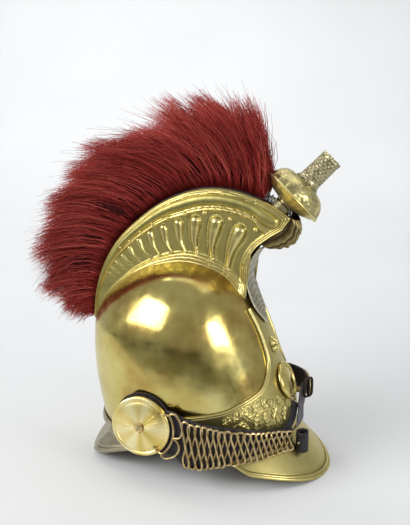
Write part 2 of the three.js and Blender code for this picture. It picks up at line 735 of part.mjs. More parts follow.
function makeTube() {
  const { footRadius, neckRadius, mouthRadius, length, wall, floor } = tube;
  const profile = [
    [0, 0], [footRadius, 0], [footRadius, 2.5], [neckRadius, 6],
    [mouthRadius, length], [mouthRadius - wall, length], [neckRadius - wall, floor], [0, floor],
  ];
  return turned(profile, roundSides, alongPlume(tubeStart), plumeAxis);
}

function makeRosette(side) {
  const { x, z, back, radius, rise, hole } = rosette;
  const profile = [
    [hole, 0], [radius - 3, 0], [radius, 1.4], [radius, 3], [radius - 1.6, 4.2], [radius - 4, 3.6],
    [radius * 0.6, rise * 0.86], [radius * 0.28, rise], [hole, rise], [hole, 0],
  ];
  const place = new THREE.Vector3(x, side * back, z);
  return turned(profile, rosetteSides, place, new THREE.Vector3(0, side, 0));
}

function makeBolt(side) {
  const { x, z, back, rise } = rosette;
  const skullHalf = Math.abs(skullPoint(z, side * 99.5, seatGap).y);
  const foot = new THREE.Vector3(x, side * (skullHalf + 0.1), z);
  const headAt = back + rise + seatGap - Math.abs(foot.y);
  const shank = turned([[0, 0], [bolt.shank, 0], [bolt.shank, headAt + 0.5], [0, headAt + 0.5]], 10, foot,
    new THREE.Vector3(0, side, 0));
  const head = new THREE.BoxGeometry(bolt.head, bolt.proud, bolt.head);
  const headMiddle = foot.clone().add(new THREE.Vector3(0, side * (headAt + bolt.proud / 2), 0));
  return toGeometry(fuse([shank, warp(head, (p) => p.add(headMiddle))]));
}

// Edges of a chain band over one parameter, mirrored to its side
function chainCurves(rows, side) {
  const edge = (key) => new THREE.CatmullRomCurve3(
    rows.map((row) => new THREE.Vector3(row.x, side * row.y, row[key])),
  );
  return { low: edge('low'), high: edge('high') };
}

function chainPoint({ low, high }, t, rise, out, side) {
  const place = low.getPoint(t).lerp(high.getPoint(t), rise);
  const run = low.getTangent(t).setZ(0).normalize();
  return place.add(new THREE.Vector3(run.y, -run.x, 0).multiplyScalar(-side * out));
}

// Wire chain as one pierced band: each link is a cell with an upper and a lower slanting gap
function makeChain(rows, side) {
  const curves = chainCurves(rows, side);
  const outline = new THREE.Shape();
  outline.moveTo(0, chainGap.scallop).lineTo(0.5, 0).lineTo(1, chainGap.scallop);
  outline.lineTo(1, 1 - chainGap.scallop).lineTo(0.5, 1).lineTo(0, 1 - chainGap.scallop).closePath();
  chainGap.rows.forEach((middle) => {
    const lean = middle > 0.5 ? chainGap.slant : -chainGap.slant;
    const hole = new THREE.Path();
    hole.moveTo(0.5 - chainGap.wide / 2, middle).lineTo(0.5 + lean, middle + chainGap.high / 2);
    hole.lineTo(0.5 + chainGap.wide / 2, middle).lineTo(0.5 - lean, middle - chainGap.high / 2).closePath();
    outline.holes.push(hole);
  });
  const cell = new THREE.ExtrudeGeometry(outline, { depth: 1, bevelEnabled: false }).attributes.position;
  const corners = [];
  for (let k = 0; k < chainLinks; k += 1) {
    for (let i = 0; i < cell.count; i += 3) {
      const face = [i, i + 1, i + 2].map((n) => new THREE.Vector3().fromBufferAttribute(cell, n));
      const shared = (x, isEnd) => !isEnd && face.every((p) => p.x === x);
      if (shared(0, k === 0) || shared(1, k === chainLinks - 1)) continue;
      corners.push(...face.map((p) => p.setX((p.x + k) / chainLinks)));
    }
  }
  const band = new THREE.BufferGeometry().setFromPoints(corners);
  return warp(band, (p) => chainPoint(curves, p.x, p.y, (p.z - 0.5) * chainWire, side));
}

function makeLining(rows, side) {
  const tab = { ...rows[0], x: lining.startX, y: rows[0].y - lining.tuck };
  const curves = chainCurves([tab, ...rows], side);
  return sheet(1, lining.steps, (u, v, w) => {
    const place = chainPoint(curves, v, u, -lining.inset - (1 - w) * leatherWall, side);
    place.z += lerp(lining.lift * smoothstep(v, 0.4, 0.75), lining.over, u);
    return place;
  });
}

// A flat strip of leather along a line of points
function makeStrip(points, facing, wide) {
  const line = new THREE.CatmullRomCurve3(points);
  return sheet(1, strap.steps, (u, v, w) => {
    const run = line.getTangent(v);
    const across = run.clone().cross(facing).normalize();
    const out = across.clone().cross(run);
    const place = line.getPoint(v).addScaledVector(across, (u - 0.5) * wide);
    return place.addScaledVector(out, (w - 0.5) * leatherWall);
  });
}

function makeKeeper() {
  const outline = new THREE.Shape().absellipse(0, 0, keeper.radiusX, keeper.radiusY, 0, Math.PI * 2);
  const inside = new THREE.Path().absellipse(
    0, 0, keeper.radiusX - leatherWall, keeper.radiusY - leatherWall, 0, Math.PI * 2,
  );
  outline.holes.push(inside);
  const height = { depth: keeper.high, bevelEnabled: false, curveSegments: 8 };
  const ring = new THREE.ExtrudeGeometry(outline, height);
  const loop = toSolid(warp(ring, (p) => p.add(new THREE.Vector3(keeper.x, keeper.y, keeper.z))));
  return toGeometry(loop.subtract(peakBlank()));
}

function makeBuckle() {
  const { wide, high, bar } = buckle;
  const frame = new THREE.Shape();
  frame.moveTo(-wide / 2, -high / 2).lineTo(wide / 2, -high / 2).lineTo(wide / 2, high / 2);
  frame.lineTo(-wide / 2, high / 2).closePath();
  const slot = new THREE.Path();
  slot.moveTo(-wide / 2 + bar, -high / 2 + bar).lineTo(wide / 2 - bar, -high / 2 + bar);
  slot.lineTo(wide / 2 - bar, high / 2 - bar).lineTo(-wide / 2 + bar, high / 2 - bar).closePath();
  frame.holes.push(slot);
  const plate = new THREE.ExtrudeGeometry(frame, { depth: bar, bevelEnabled: false });
  return warp(plate, (p) => new THREE.Vector3(buckle.x, buckle.y, buckle.z)
    .addScaledVector(buckleAcross, p.x).addScaledVector(buckleFacing, p.z - bar / 2).setZ(buckle.z + p.y));
}

addPiece('skull', makeSkull(), 'polishedBrass');
addPiece('front_plate', makePlate(), 'stampedBrass');
addPiece('front_disc', makeDisc(), 'polishedBrass');
addPiece('peak', makePeak(), 'polishedBrass');
addPiece('peak_edging', makeEdging(peakPoint, peakSheetEnd, peakColumns), 'polishedBrass');
addPiece('neck_guard', makeNeckGuard(), 'polishedBrass');
addPiece('neck_guard_edging', makeEdging(neckPoint, neckSheetEnd, neckColumns), 'polishedBrass');
addPiece('crest_front', makeCrestFront(), 'agedBrass');
addPiece('crest_cap', crestCapSheet(0, brassWall), 'agedBrass');
addPiece('prow_palmette', makePalmette(), 'agedBrass');
addPiece('hair_crest', makeHair(), 'redHair');
addPiece('plume_stem', makePlumeStem(), 'agedBrass');
addPiece('plume_bulb', makeBulb(), 'stampedBrass');
addPiece('plume_tube', makeTube(), 'agedBrass');
for (const [name, side, line] of [['right', -1, rightChainLine], ['left', 1, leftChainLine]]) {
  addPiece(`crest_side_${name}`, makeCrestSide(side), 'stampedBrass');
  addPiece(`rosette_${name}`, makeRosette(side), 'polishedBrass');
  addPiece(`rosette_bolt_${name}`, makeBolt(side), 'darkSteel');
  addPiece(`chin_chain_${name}`, makeChain(line, side), 'wireBrass');
  addPiece(`chin_lining_${name}`, makeLining(line, side), 'blackLeather');
}
addPiece('chin_strap', makeStrip(strapLine, strapFacing, strap.wide), 'blackLeather');
addPiece('chin_strap_end', makeStrip(strapEndLine, strapFacing, strap.wide), 'blackLeather');
addPiece('strap_keeper', makeKeeper(), 'blackLeather');
addPiece('strap_buckle', makeBuckle(), 'darkSteel');

// The origin is the middle of the footprint, on the floor
const extent = new THREE.Box3().setFromObject(helmet);
const middle = extent.getCenter(new THREE.Vector3());
helmet.position.set(-middle.x, -middle.y, -extent.min.z);
helmet.updateMatrixWorld(true);

export default helmet;
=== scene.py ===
from math import atan2, cos, hypot, pi, radians, sin

import bmesh
import bpy
import numpy as np
from mathutils import Matrix, Vector
from mathutils.bvhtree import BVHTree


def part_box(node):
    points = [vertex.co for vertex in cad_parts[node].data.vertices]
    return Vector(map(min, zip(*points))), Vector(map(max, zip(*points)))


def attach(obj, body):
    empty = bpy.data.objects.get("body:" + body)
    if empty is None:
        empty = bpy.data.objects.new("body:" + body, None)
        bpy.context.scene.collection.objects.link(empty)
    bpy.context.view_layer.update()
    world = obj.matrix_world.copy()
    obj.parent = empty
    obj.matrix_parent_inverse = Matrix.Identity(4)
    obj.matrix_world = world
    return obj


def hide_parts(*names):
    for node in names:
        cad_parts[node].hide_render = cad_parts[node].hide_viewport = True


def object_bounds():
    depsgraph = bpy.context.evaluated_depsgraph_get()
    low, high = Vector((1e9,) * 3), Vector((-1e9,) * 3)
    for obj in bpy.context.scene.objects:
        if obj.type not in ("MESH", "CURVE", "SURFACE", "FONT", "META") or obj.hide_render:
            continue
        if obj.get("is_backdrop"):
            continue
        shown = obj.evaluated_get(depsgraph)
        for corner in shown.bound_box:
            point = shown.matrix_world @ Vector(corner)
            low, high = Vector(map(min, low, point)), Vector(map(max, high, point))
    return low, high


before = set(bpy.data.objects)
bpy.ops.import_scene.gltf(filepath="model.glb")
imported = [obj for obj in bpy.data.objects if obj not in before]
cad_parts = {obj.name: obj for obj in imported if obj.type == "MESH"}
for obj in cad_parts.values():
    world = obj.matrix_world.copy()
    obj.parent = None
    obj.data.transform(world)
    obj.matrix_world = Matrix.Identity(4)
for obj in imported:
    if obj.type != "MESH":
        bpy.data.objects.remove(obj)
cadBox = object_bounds()

# Crested brass helmet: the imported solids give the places, this file each surface's relief and finish.
# Shapes are worked out in millimetres: +X is the front, +Y the wearer's left, +Z up.
mm = 0.001
forehead = 126  # how far the brass of the forehead lies in front of the head's middle
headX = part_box("skull")[1].x / mm - forehead
bothSides = (("right", -1), ("left", 1))
chance = np.random.default_rng(7)


def place(spots):
    return (np.asarray(spots, float) + (headX, 0, 0)) * mm


def unit(rows):
    return rows / np.linalg.norm(rows, axis=-1, keepdims=True)


def smooth(low, high, value):
    share = np.clip((value - low) / (high - low), 0, 1)
    return share * share * (3 - 2 * share)


def readTable(rows, column, key):  # one column of a table as a smooth curve over the first column
    rows = np.asarray(rows, float)
    keys, values = rows[:, 0], rows[:, column]
    slopes = np.gradient(values, keys, edge_order=1)
    slopes[1:-1] = (values[2:] - values[:-2]) / (keys[2:] - keys[:-2])
    i = np.clip(np.searchsorted(keys, key, side="right") - 1, 0, len(keys) - 2)
    span = keys[i + 1] - keys[i]
    t = np.clip((key - keys[i]) / span, 0, 1)
    s = 1 - t
    ends = values[i] * s * s * (1 + 2 * t) + values[i + 1] * t * t * (3 - 2 * t)
    return ends + span * (slopes[i] * s * s * t - slopes[i + 1] * t * t * s)


def alongPoints(points, t):  # a smooth curve through points, read from 0 to 1
    points = np.asarray(points, float)
    whole = np.vstack([2 * points[0] - points[1], points, 2 * points[-1] - points[-2]])
    roots = np.linalg.norm(np.diff(whole, axis=0), axis=1) ** 0.5
    spot = np.clip(np.asarray(t, float), 0, 1) * (len(points) - 1)
    i = np.minimum(spot.astype(int), len(points) - 2)
    w = (spot - i)[..., None]
    a, b, c, d = (whole[i + k] for k in range(4))
    r0, r1, r2 = (roots[i + k][..., None] for k in range(3))
    leave = r1 * ((b - a) / r0 - (c - a) / (r0 + r1) + (c - b) / r1)
    arrive = r1 * ((c - b) / r1 - (d - b) / (r1 + r2) + (d - c) / r2)
    return ((2 * w**3 - 3 * w**2 + 1) * b + (w**3 - 2 * w**2 + w) * leave
            + (3 * w**2 - 2 * w**3) * c + (w**3 - w**2) * arrive)


def runAlong(points, t, step=0.004):  # the direction of such a curve
    return unit(alongPoints(points, np.minimum(t + step, 1)) - alongPoints(points, np.maximum(t - step, 0)))


def upFrom(run):  # square to a direction in the middle plane
    return np.stack([-run[:, 2], 0 * run[:, 0], run[:, 0]], -1)


def softMin(first, second, blend):  # the smaller of two distances, with the corner between them rounded
    return -blend * np.logaddexp(-first / blend, -second / blend)


def gridSheet(columns, rows, shape, closed=False, core=(0, 0, 100)):  # a grid, bent to where shape(u, v) lies
    form = bmesh.new()
    bmesh.ops.create_grid(form, x_segments=columns, y_segments=rows, size=0.5)
    flat = np.array([vert.co[:2] for vert in form.verts]) + 0.5
    bent = shape(flat[:, 0], flat[:, 1])
    for vert, spot in zip(form.verts, place(bent[:, :3])):
        vert.co = spot
    if bent.shape[1] > 3:  # the fourth column is how deep a spot lies in the relief
        recess = form.verts.layers.float.new("recess")
        for vert, depth in zip(form.verts, bent[:, 3]):
            vert[recess] = depth
    if closed:
        bmesh.ops.remove_doubles(form, verts=form.verts, dist=1e-6)
        bmesh.ops.recalc_face_normals(form, faces=form.faces)
    form.normal_update()
    middle = Vector(place(core))
    if sum(face.normal.dot(face.calc_center_median() - middle) for face in form.faces) < 0:
        bmesh.ops.reverse_faces(form, faces=form.faces)
    return form


def capEnds(form):  # a bent tube gets its two ends closed
    bmesh.ops.holes_fill(form, edges=[edge for edge in form.edges if edge.is_boundary])
    bmesh.ops.recalc_face_normals(form, faces=form.faces)
    return form


def spunShape(profile, steps, foot, axis):  # (radius, height) pairs spun about an axis from its foot
    form = bmesh.new()
    line = [form.verts.new((radius * mm, 0, height * mm)) for radius, height in profile]
    edges = [form.edges.new(pair) for pair in zip(line, line[1:])]
    bmesh.ops.spin(form, geom=line + edges, cent=(0, 0, 0), axis=(0, 0, 1), angle=2 * pi, steps=steps,
                   use_merge=True)
    bmesh.ops.remove_doubles(form, verts=form.verts, dist=1e-6)
    bmesh.ops.recalc_face_normals(form, faces=form.faces)
    lean = Vector((0, 0, 1)).rotation_difference(Vector(axis))
    turn = Matrix.Translation(place(foot)) @ lean.to_matrix().to_4x4()
    bmesh.ops.transform(form, matrix=turn, verts=form.verts)
    return form


def addRound(form, spot, radius, thick, segments):  # a flat round on the side of the helmet
    at = Matrix.Translation(place(spot)) @ Matrix.Rotation(pi / 2, 4, "X")
    bmesh.ops.create_cone(form, cap_ends=True, segments=segments, radius1=radius * mm, radius2=radius * mm,
                          depth=thick * mm, matrix=at)


def wireMesh(paths, thick, closed):  # bent wires of one thickness as one mesh
    curve = bpy.data.curves.new("wire", "CURVE")
    curve.dimensions = "3D"
    curve.bevel_depth, curve.bevel_resolution = thick * mm / 2, 2
    curve.use_fill_caps = True
    for path in paths:
        spline = curve.splines.new("POLY")
        spline.points.add(len(path) - 1)
        spline.points.foreach_set("co", np.c_[place(path), np.ones(len(path))].ravel())
        spline.use_cyclic_u = closed
    form = bpy.data.objects.new("wire", curve)
    bpy.context.scene.collection.objects.link(form)
    shaped = form.evaluated_get(bpy.context.evaluated_depsgraph_get())
    mesh = bpy.data.meshes.new_from_object(shaped)
    bpy.data.objects.remove(form)
    bpy.data.curves.remove(curve)
    return mesh


def joinForms(forms):  # several bmeshes as one
    whole = bmesh.new()
    whole.verts.layers.float.new("recess")
    for form in forms:
        part = bpy.data.meshes.new("part")
        form.to_mesh(part)
        form.free()
        whole.from_mesh(part)
        bpy.data.meshes.remove(part)
    return whole


def mirrored(form):
    other = form.copy()
    bmesh.ops.scale(other, vec=(1, -1, 1), verts=other.verts)
    bmesh.ops.reverse_faces(other, faces=other.faces)
    return other


def addPiece(name, form, material, slotName, *nodes, wall=0, sharp=40):
    mesh = form
    if isinstance(form, bmesh.types.BMesh):
        mesh = bpy.data.meshes.new(name)
        form.to_mesh(mesh)
        form.free()
    mesh.name = name
    mesh.shade_smooth()
    mesh.set_sharp_from_angle(angle=radians(sharp))
    mesh.materials.clear()
    mesh.materials.append(material)
    piece = bpy.data.objects.new(name, mesh)
    bpy.context.scene.collection.objects.link(piece)
    if wall:
        shell = piece.modifiers.new("wall", "SOLIDIFY")
        shell.thickness, shell.offset = wall * mm, -1
    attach(piece, "root")
    if nodes:
        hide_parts(*nodes)


def toLinear(code):
    parts = [int(code[k:k + 2], 16) / 255 for k in (1, 3, 5)]
    return (*[c / 12.92 if c < 0.04045 else ((c + 0.055) / 1.055) ** 2.4 for c in parts], 1)


def addNode(material, kind, inputs=None, stops=(), **settings):
    node = material.node_tree.nodes.new("ShaderNode" + kind)
    for key, value in settings.items():
        setattr(node, key, value)
    for key, value in (inputs or {}).items():
        if isinstance(value, bpy.types.Node):  # a node stands for its first output
            value = value.outputs[0]
        if isinstance(value, bpy.types.NodeSocket):
            material.node_tree.links.new(value, node.inputs[key])
        else:
            node.inputs[key].default_value = value
    for k, (position, code) in enumerate(stops):
        element = node.color_ramp.elements[k] if k < 2 else node.color_ramp.elements.new(position)
        element.position, element.color = position, toLinear(code)
    return node


def perMetre(size):  # a pattern's scale from the size of its grain in millimetres
    return 1000 / size


def newMaterial(name):
    material = bpy.data.materials.new(name)
    material.use_nodes = True
    material.node_tree.nodes.clear()
    return material, addNode(material, "TexCoord").outputs["Object"]


def grainFinish(name, grain, detail, stops, sockets, gloss=None):  # one noise tints the surface
    material, spot = newMaterial(name)
    noise = addNode(material, "TexNoise", {"Vector": spot, "Scale": perMetre(grain), "Detail": detail})
    tint = addNode(material, "ValToRGB", {"Fac": noise}, stops)
    if gloss:
        rough = addNode(material, "MapRange", {"Value": noise, "To Min": gloss[0], "To Max": gloss[1]})
        sockets = {**sockets, "Roughness": rough}
    skin = addNode(material, "BsdfPrincipled", {"Base Color": tint, **sockets})
    addNode(material, "OutputMaterial", {"Surface": skin})
    return material


def hollowFinish(name, grain, share, rough, stops):  # brass with its grime in the hollows of the relief
    material, spot = newMaterial(name)
    hollow = addNode(material, "Attribute", attribute_name="recess")
    grime = addNode(material, "TexNoise", {"Vector": spot, "Scale": perMetre(grain), "Detail": 5.0})
    dull = addNode(material, "Math", {0: grime, 1: share, 2: hollow.outputs["Fac"]},
                   operation="MULTIPLY_ADD", use_clamp=True)
    tint = addNode(material, "ValToRGB", {"Fac": dull}, stops)
    skin = addNode(material, "BsdfPrincipled", {"Base Color": tint, "Metallic": 1.0, "Roughness": rough})
    addNode(material, "OutputMaterial", {"Surface": skin})
    return material


# Camera: the photograph's angle, for an image of 410 by 525
view = dict(azimuth=20, elevation=15, distance=1200, pixelSize=1.12, target=(19.3, 0, 227.9), pixelsWide=410,
            sensor=36)
swing, rise = radians(view["azimuth"]), radians(view["elevation"])
backward = Vector((sin(swing) * cos(rise), -cos(swing) * cos(rise), sin(rise)))
eye = bpy.data.objects.new("camera", bpy.data.cameras.new("camera"))
eye.data.sensor_fit, eye.data.sensor_width = "HORIZONTAL", view["sensor"]
eye.data.lens = view["sensor"] * view["distance"] / (view["pixelsWide"] * view["pixelSize"])
eye.location = Vector(place(view["target"])) + backward * view["distance"] * mm
eye.rotation_euler = backward.to_track_quat("Z", "Y").to_euler()
bpy.context.scene.collection.objects.link(eye)
bpy.context.scene.camera = eye

# Stage: pale paper on a dark floor, swept up behind, with two softboxes, a top light and one for the paper
sweep = dict(front=-0.36, bend=1.1, radius=0.9, top=2.6, half=3)
room = dict(near=-0.36, far=-5, drop=0.03)
# Seamless paper: matt and even, a faint mottle only
paper = grainFinish("seamless paper", 300, 2.0, [(0.3, "#d7d8d9"), (0.7, "#dbdcdd")], {"Roughness": 0.9})
# Dark floorboards: from the front only seen mirrored in the brass
boards = grainFinish("dark floorboards", 120, 2.0, [(0.3, "#64655a"), (0.7, "#6c6d62")], {"Roughness": 0.8})
curl = [(sweep["bend"] + sweep["radius"] * sin(a), sweep["radius"] * (1 - cos(a)))
        for a in np.linspace(0, pi / 2, 13)]
paperLine = [(sweep["front"], 0), *curl, (sweep["bend"] + sweep["radius"], sweep["top"])]
boardLine = [(room["far"], -room["drop"]), (room["near"], -room["drop"])]
for name, cover, line in (("paper_floor", paper, paperLine), ("room_floor", boards, boardLine)):
    form = bmesh.new()
    rail = [form.verts.new((-sweep["half"], y, z)) for y, z in line]
    edges = [form.edges.new(pair) for pair in zip(rail, rail[1:])]
    drawn = bmesh.ops.extrude_edge_only(form, edges=edges)["geom"]
    moved = [item for item in drawn if isinstance(item, bmesh.types.BMVert)]
    bmesh.ops.translate(form, vec=(2 * sweep["half"], 0, 0), verts=moved)
    bmesh.ops.recalc_face_normals(form, faces=form.faces)
    mesh = bpy.data.meshes.new(name)
    form.to_mesh(mesh)
    form.free()
    mesh.shade_smooth()
    mesh.materials.append(cover)
    ground = bpy.data.objects.new(name, mesh)
    bpy.context.scene.collection.objects.link(ground)
    ground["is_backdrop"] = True

softboxes = [  # where it stands and what it points at, size in metres, watts and how far the light spreads
    dict(name="left", at=(-1.05, -1.09, 0.97), aim=(0, 0, 0.2), wide=1.5, high=1.0, watts=11, spread=110),
    dict(name="right", at=(1.43, -0.64, 0.57), aim=(0, 0, 0.2), wide=0.66, high=0.44, watts=3.6, spread=110),
    dict(name="top", at=(0.12, 0.7, 1.96), aim=(0, 0, 0.2), wide=2.4, high=1.6, watts=7, spread=140),
    dict(name="paper", at=(-1.5, 1.1, 1.9), aim=(-0.9, 1.9, 0.5), wide=2.4, high=0.8, watts=16.5, spread=120),
]
for box in softboxes:
    lamp = bpy.data.lights.new(box["name"], "AREA")
    lamp.shape, lamp.size, lamp.size_y = "RECTANGLE", box["wide"], box["high"]
    lamp.energy, lamp.spread = box["watts"], radians(box["spread"])
    light = bpy.data.objects.new(box["name"], lamp)
    light.location = box["at"]
    light.rotation_euler = (Vector(box["at"]) - Vector(box["aim"])).to_track_quat("Z", "Y").to_euler()
    bpy.context.scene.collection.objects.link(light)
walls = bpy.data.worlds.new("white walls")
walls.use_nodes = True
walls.node_tree.nodes["Background"].inputs["Color"].default_value = toLinear("#c6c8ca")
walls.node_tree.nodes["Background"].inputs["Strength"].default_value = 0.75
bpy.context.scene.world = walls
bpy.context.scene.view_settings.view_transform = "Standard"
print("camera, paper and lights placed")

# Polished sheet brass: raised by hand and buffed, so reflections wander, with smudges and a few brown stains
polishedBrass, spot = newMaterial("polished sheet brass")
worn = addNode(polishedBrass, "Attribute", attribute_name="recess")  # knocked about next to the crest
stains = addNode(polishedBrass, "TexNoise", {"Vector": spot, "Scale": perMetre(46), "Detail": 4.0})
stained = addNode(polishedBrass, "Math", {0: worn.outputs["Fac"], 1: -0.2, 2: stains},
                  operation="MULTIPLY_ADD")
tint = addNode(polishedBrass, "ValToRGB", {"Fac": stained},
               [(0.2, "#a3864a"), (0.36, "#bda45e"), (0.5, "#cdbc70"), (0.7, "#dacd88")])
smudges = addNode(polishedBrass, "TexNoise", {"Vector": spot, "Scale": perMetre(11), "Detail": 5.0})
gloss = addNode(polishedBrass, "MapRange", {"Value": smudges, "From Min": 0.35,
                                            "From Max": 0.75, "To Min": 0.15, "To Max": 0.27})
dulled = addNode(polishedBrass, "Math", {0: worn.outputs["Fac"], 1: 0.2, 2: gloss},
                 operation="MULTIPLY_ADD")
knocks = addNode(polishedBrass, "TexNoise", {"Vector": spot, "Scale": perMetre(17), "Detail": 1.0})
knocked = addNode(polishedBrass, "Bump", {"Height": knocks, "Strength": worn.outputs["Fac"],
                                          "Distance": 0.003})
dents = addNode(polishedBrass, "TexNoise", {"Vector": spot, "Scale": perMetre(55), "Detail": 1.5})
wander = addNode(polishedBrass, "Bump", {"Height": dents, "Strength": 0.5, "Distance": 0.004,
                                         "Normal": knocked})
hairlines = addNode(polishedBrass, "TexNoise", {"Vector": spot, "Scale": perMetre(1.2), "Detail": 2.0})
buffing = addNode(polishedBrass, "Bump", {"Height": hairlines, "Strength": 0.05,
                                          "Distance": 0.0002, "Normal": wander})
skin = addNode(polishedBrass, "BsdfPrincipled", {
    "Base Color": tint, "Metallic": 1.0, "Roughness": dulled, "Normal": buffing})
addNode(polishedBrass, "OutputMaterial", {"Surface": skin})

# Stamped brass: struck in a die and rubbed since, bright on the ridges, olive and dull in the hollows
stampedBrass, spot = newMaterial("die-stamped brass")
hollow = addNode(stampedBrass, "Attribute", attribute_name="recess")
grime = addNode(stampedBrass, "TexNoise", {"Vector": spot, "Scale": perMetre(9), "Detail": 5.0})
dirt = addNode(stampedBrass, "Math", {0: grime, 1: 0.5, 2: -0.2}, operation="MULTIPLY_ADD")
dull = addNode(stampedBrass, "Math", {0: hollow.outputs["Fac"], 1: dirt}, operation="ADD", use_clamp=True)
tint = addNode(stampedBrass, "ValToRGB", {"Fac": dull},
               [(0.0, "#e0d08c"), (0.35, "#c8b976"), (0.8, "#a39a5c"), (1.0, "#878150")])
gloss = addNode(stampedBrass, "MapRange", {"Value": dull, "To Min": 0.3, "To Max": 0.48})
grain = addNode(stampedBrass, "TexNoise", {"Vector": spot, "Scale": perMetre(1.6), "Detail": 3.0})
tooth = addNode(stampedBrass, "Bump", {"Height": grain, "Strength": 0.1, "Distance": 0.0004})
skin = addNode(stampedBrass, "BsdfPrincipled", {
    "Base Color": tint, "Metallic": 1.0, "Roughness": gloss, "Normal": tooth})
addNode(stampedBrass, "OutputMaterial", {"Surface": skin})

# Brushed brass of the rosettes: strokes run out from the bolt; the wedges in which the light fans over them
# are painted sheen in the base colour
rosetteX, rosetteZ = -18.2, 65.9
brushedBrass, spot = newMaterial("brushed turned brass")
face = addNode(brushedBrass, "Mapping", {"Vector": spot, "Rotation": (pi / 2, 0.0, 0.0),
                                         "Location": ((headX + rosetteX) * mm, 0.0, rosetteZ * mm)},
               vector_type="TEXTURE")
fan = addNode(brushedBrass, "TexGradient", {"Vector": face}, gradient_type="RADIAL")
strokes = addNode(brushedBrass, "TexNoise", {"W": fan.outputs["Fac"], "Scale": 130.0, "Detail": 2.0},
                  noise_dimensions="1D")
# painted sheen: noise round the bolt paints bright wedges into the colour
sheenWedges = addNode(brushedBrass, "TexNoise", {"W": fan.outputs["Fac"], "Scale": 9.0, "Detail": 0.0},
                 noise_dimensions="1D")
flat = addNode(brushedBrass, "VectorMath", {0: face, 1: (1.0, 1.0, 0.0)}, operation="MULTIPLY")
reach = addNode(brushedBrass, "VectorMath", {0: flat}, operation="LENGTH")
inner = addNode(brushedBrass, "MapRange", {"Value": reach.outputs["Value"], "From Min": 0.021,
                                           "From Max": 0.027, "To Min": 0.45, "To Max": 0.0})
# the colour mixes the brush strokes with the painted sheen wedges
blend = addNode(brushedBrass, "Math", {0: strokes, 1: 0.5, 2: sheenWedges}, operation="MULTIPLY_ADD")
tint = addNode(brushedBrass, "ValToRGB", {"Fac": blend},
               [(0.5, "#dcc36a"), (0.75, "#f0db92"), (1.0, "#faefba")])
comb = addNode(brushedBrass, "Bump", {"Height": strokes, "Strength": inner, "Distance": 0.0009})
skin = addNode(brushedBrass, "BsdfPrincipled", {"Base Color": tint, "Metallic": 1.0,
                                                "Roughness": 0.34, "Normal": comb})
addNode(brushedBrass, "OutputMaterial", {"Surface": skin})

# Aged brass of the plume tube: chased all over, the lacquer gone grey and the chasing dark
agedBrass, spot = newMaterial("aged chased brass")
hollow = addNode(agedBrass, "Attribute", attribute_name="recess")
grime = addNode(agedBrass, "TexNoise", {"Vector": spot, "Scale": perMetre(5), "Detail": 5.0})
chasing = addNode(agedBrass, "TexVoronoi", {"Vector": spot, "Scale": perMetre(2.4)}, feature="SMOOTH_F1")
deep = addNode(agedBrass, "Math", {0: chasing, 1: 0.35, 2: hollow.outputs["Fac"]}, operation="MULTIPLY_ADD")
dull = addNode(agedBrass, "Math", {0: deep, 1: grime}, operation="MULTIPLY", use_clamp=True)
tint = addNode(agedBrass, "ValToRGB", {"Fac": dull},
               [(0.05, "#c9c2a2"), (0.3, "#a49a74"), (0.6, "#6a6143")])
tooth = addNode(agedBrass, "Bump", {"Height": chasing, "Strength": 0.25, "Distance": 0.001})
skin = addNode(agedBrass, "BsdfPrincipled", {"Base Color": tint, "Metallic": 1.0,
                                             "Roughness": 0.36, "Normal": tooth})
addNode(agedBrass, "OutputMaterial", {"Surface": skin})

# Grey brass of the front strip: the palest metal, its yellow almost gone under a dry grey skin
greyBrass = hollowFinish("tarnished strip brass", 6, 0.5, 0.45,
                         [(0.15, "#d8d4c2"), (0.5, "#b8b29b"), (0.9, "#807b64")])
# Browned brass of the palmette: never rubbed, dull brown with a gold edge on each rib
brownedBrass = hollowFinish("browned cast brass", 4, 0.5, 0.4,
                            [(0.2, "#bcac7c"), (0.5, "#94855a"), (0.95, "#54482f")])
# Filmed brass of the plume bulb: a grey-green film over the dome, rubbed gold on the high spots and below
filmedBrass = hollowFinish("filmed stamped brass", 8, 0.7, 0.36,
                           [(0.35, "#ecd88c"), (0.6, "#d3c58c"), (0.95, "#a69d6c")])

# Dulled brass of the neck guard: handled and never buffed, a grey skin over the yellow
dulledBrass = grainFinish("dulled sheet brass", 14, 5.0,
                          [(0.3, "#978d72"), (0.6, "#b0a991"), (0.8, "#beb588")], {"Metallic": 1.0},
                          gloss=(0.28, 0.45))
# Burnished brass of the disc: the yellowest and smoothest spot, with faint cloudy smears
burnishedBrass = grainFinish("burnished brass", 7, 4.0, [(0.3, "#d3bc66"), (0.7, "#e8d68c")],
                             {"Metallic": 1.0}, gloss=(0.2, 0.36))
# Drawn brass wire: pale along the crown of each bend, brown where the links rub
wireBrass = grainFinish("drawn brass wire", 5, 3.0, [(0.35, "#a98f5c"), (0.65, "#d4c093")],
                        {"Metallic": 1.0, "Roughness": 0.34})
# Browned steel of the buckle: nearly black, with rusty corners; it also colours the dark discs of painted
# shade that stand for the wire holes
darkSteel = grainFinish("browned steel", 2, 4.0, [(0.35, "#17120f"), (0.7, "#3d2f22")],
                        {"Metallic": 0.6, "Roughness": 0.5})
# Tin plate: torn, crumpled and still bright
tinPlate = grainFinish("torn tin plate", 3, 4.0, [(0.35, "#9a9a99"), (0.65, "#e6e6e3")],
                       {"Metallic": 1.0, "Roughness": 0.35})
# Grey strap leather: the wax worn off, slate grey with dark creases
greyLeather = grainFinish("worn strap leather", 5, 5.0, [(0.35, "#3b383b"), (0.7, "#68656a")],
                          {"Roughness": 0.5})
# Horsehair in shadow: what shows between the outer hairs
hairShadowFill = grainFinish("horsehair in shadow", 4, 3.0, [(0.3, "#1c0506"), (0.7, "#45100f")],
                       {"Roughness": 0.9, "Specular IOR Level": 0.1})

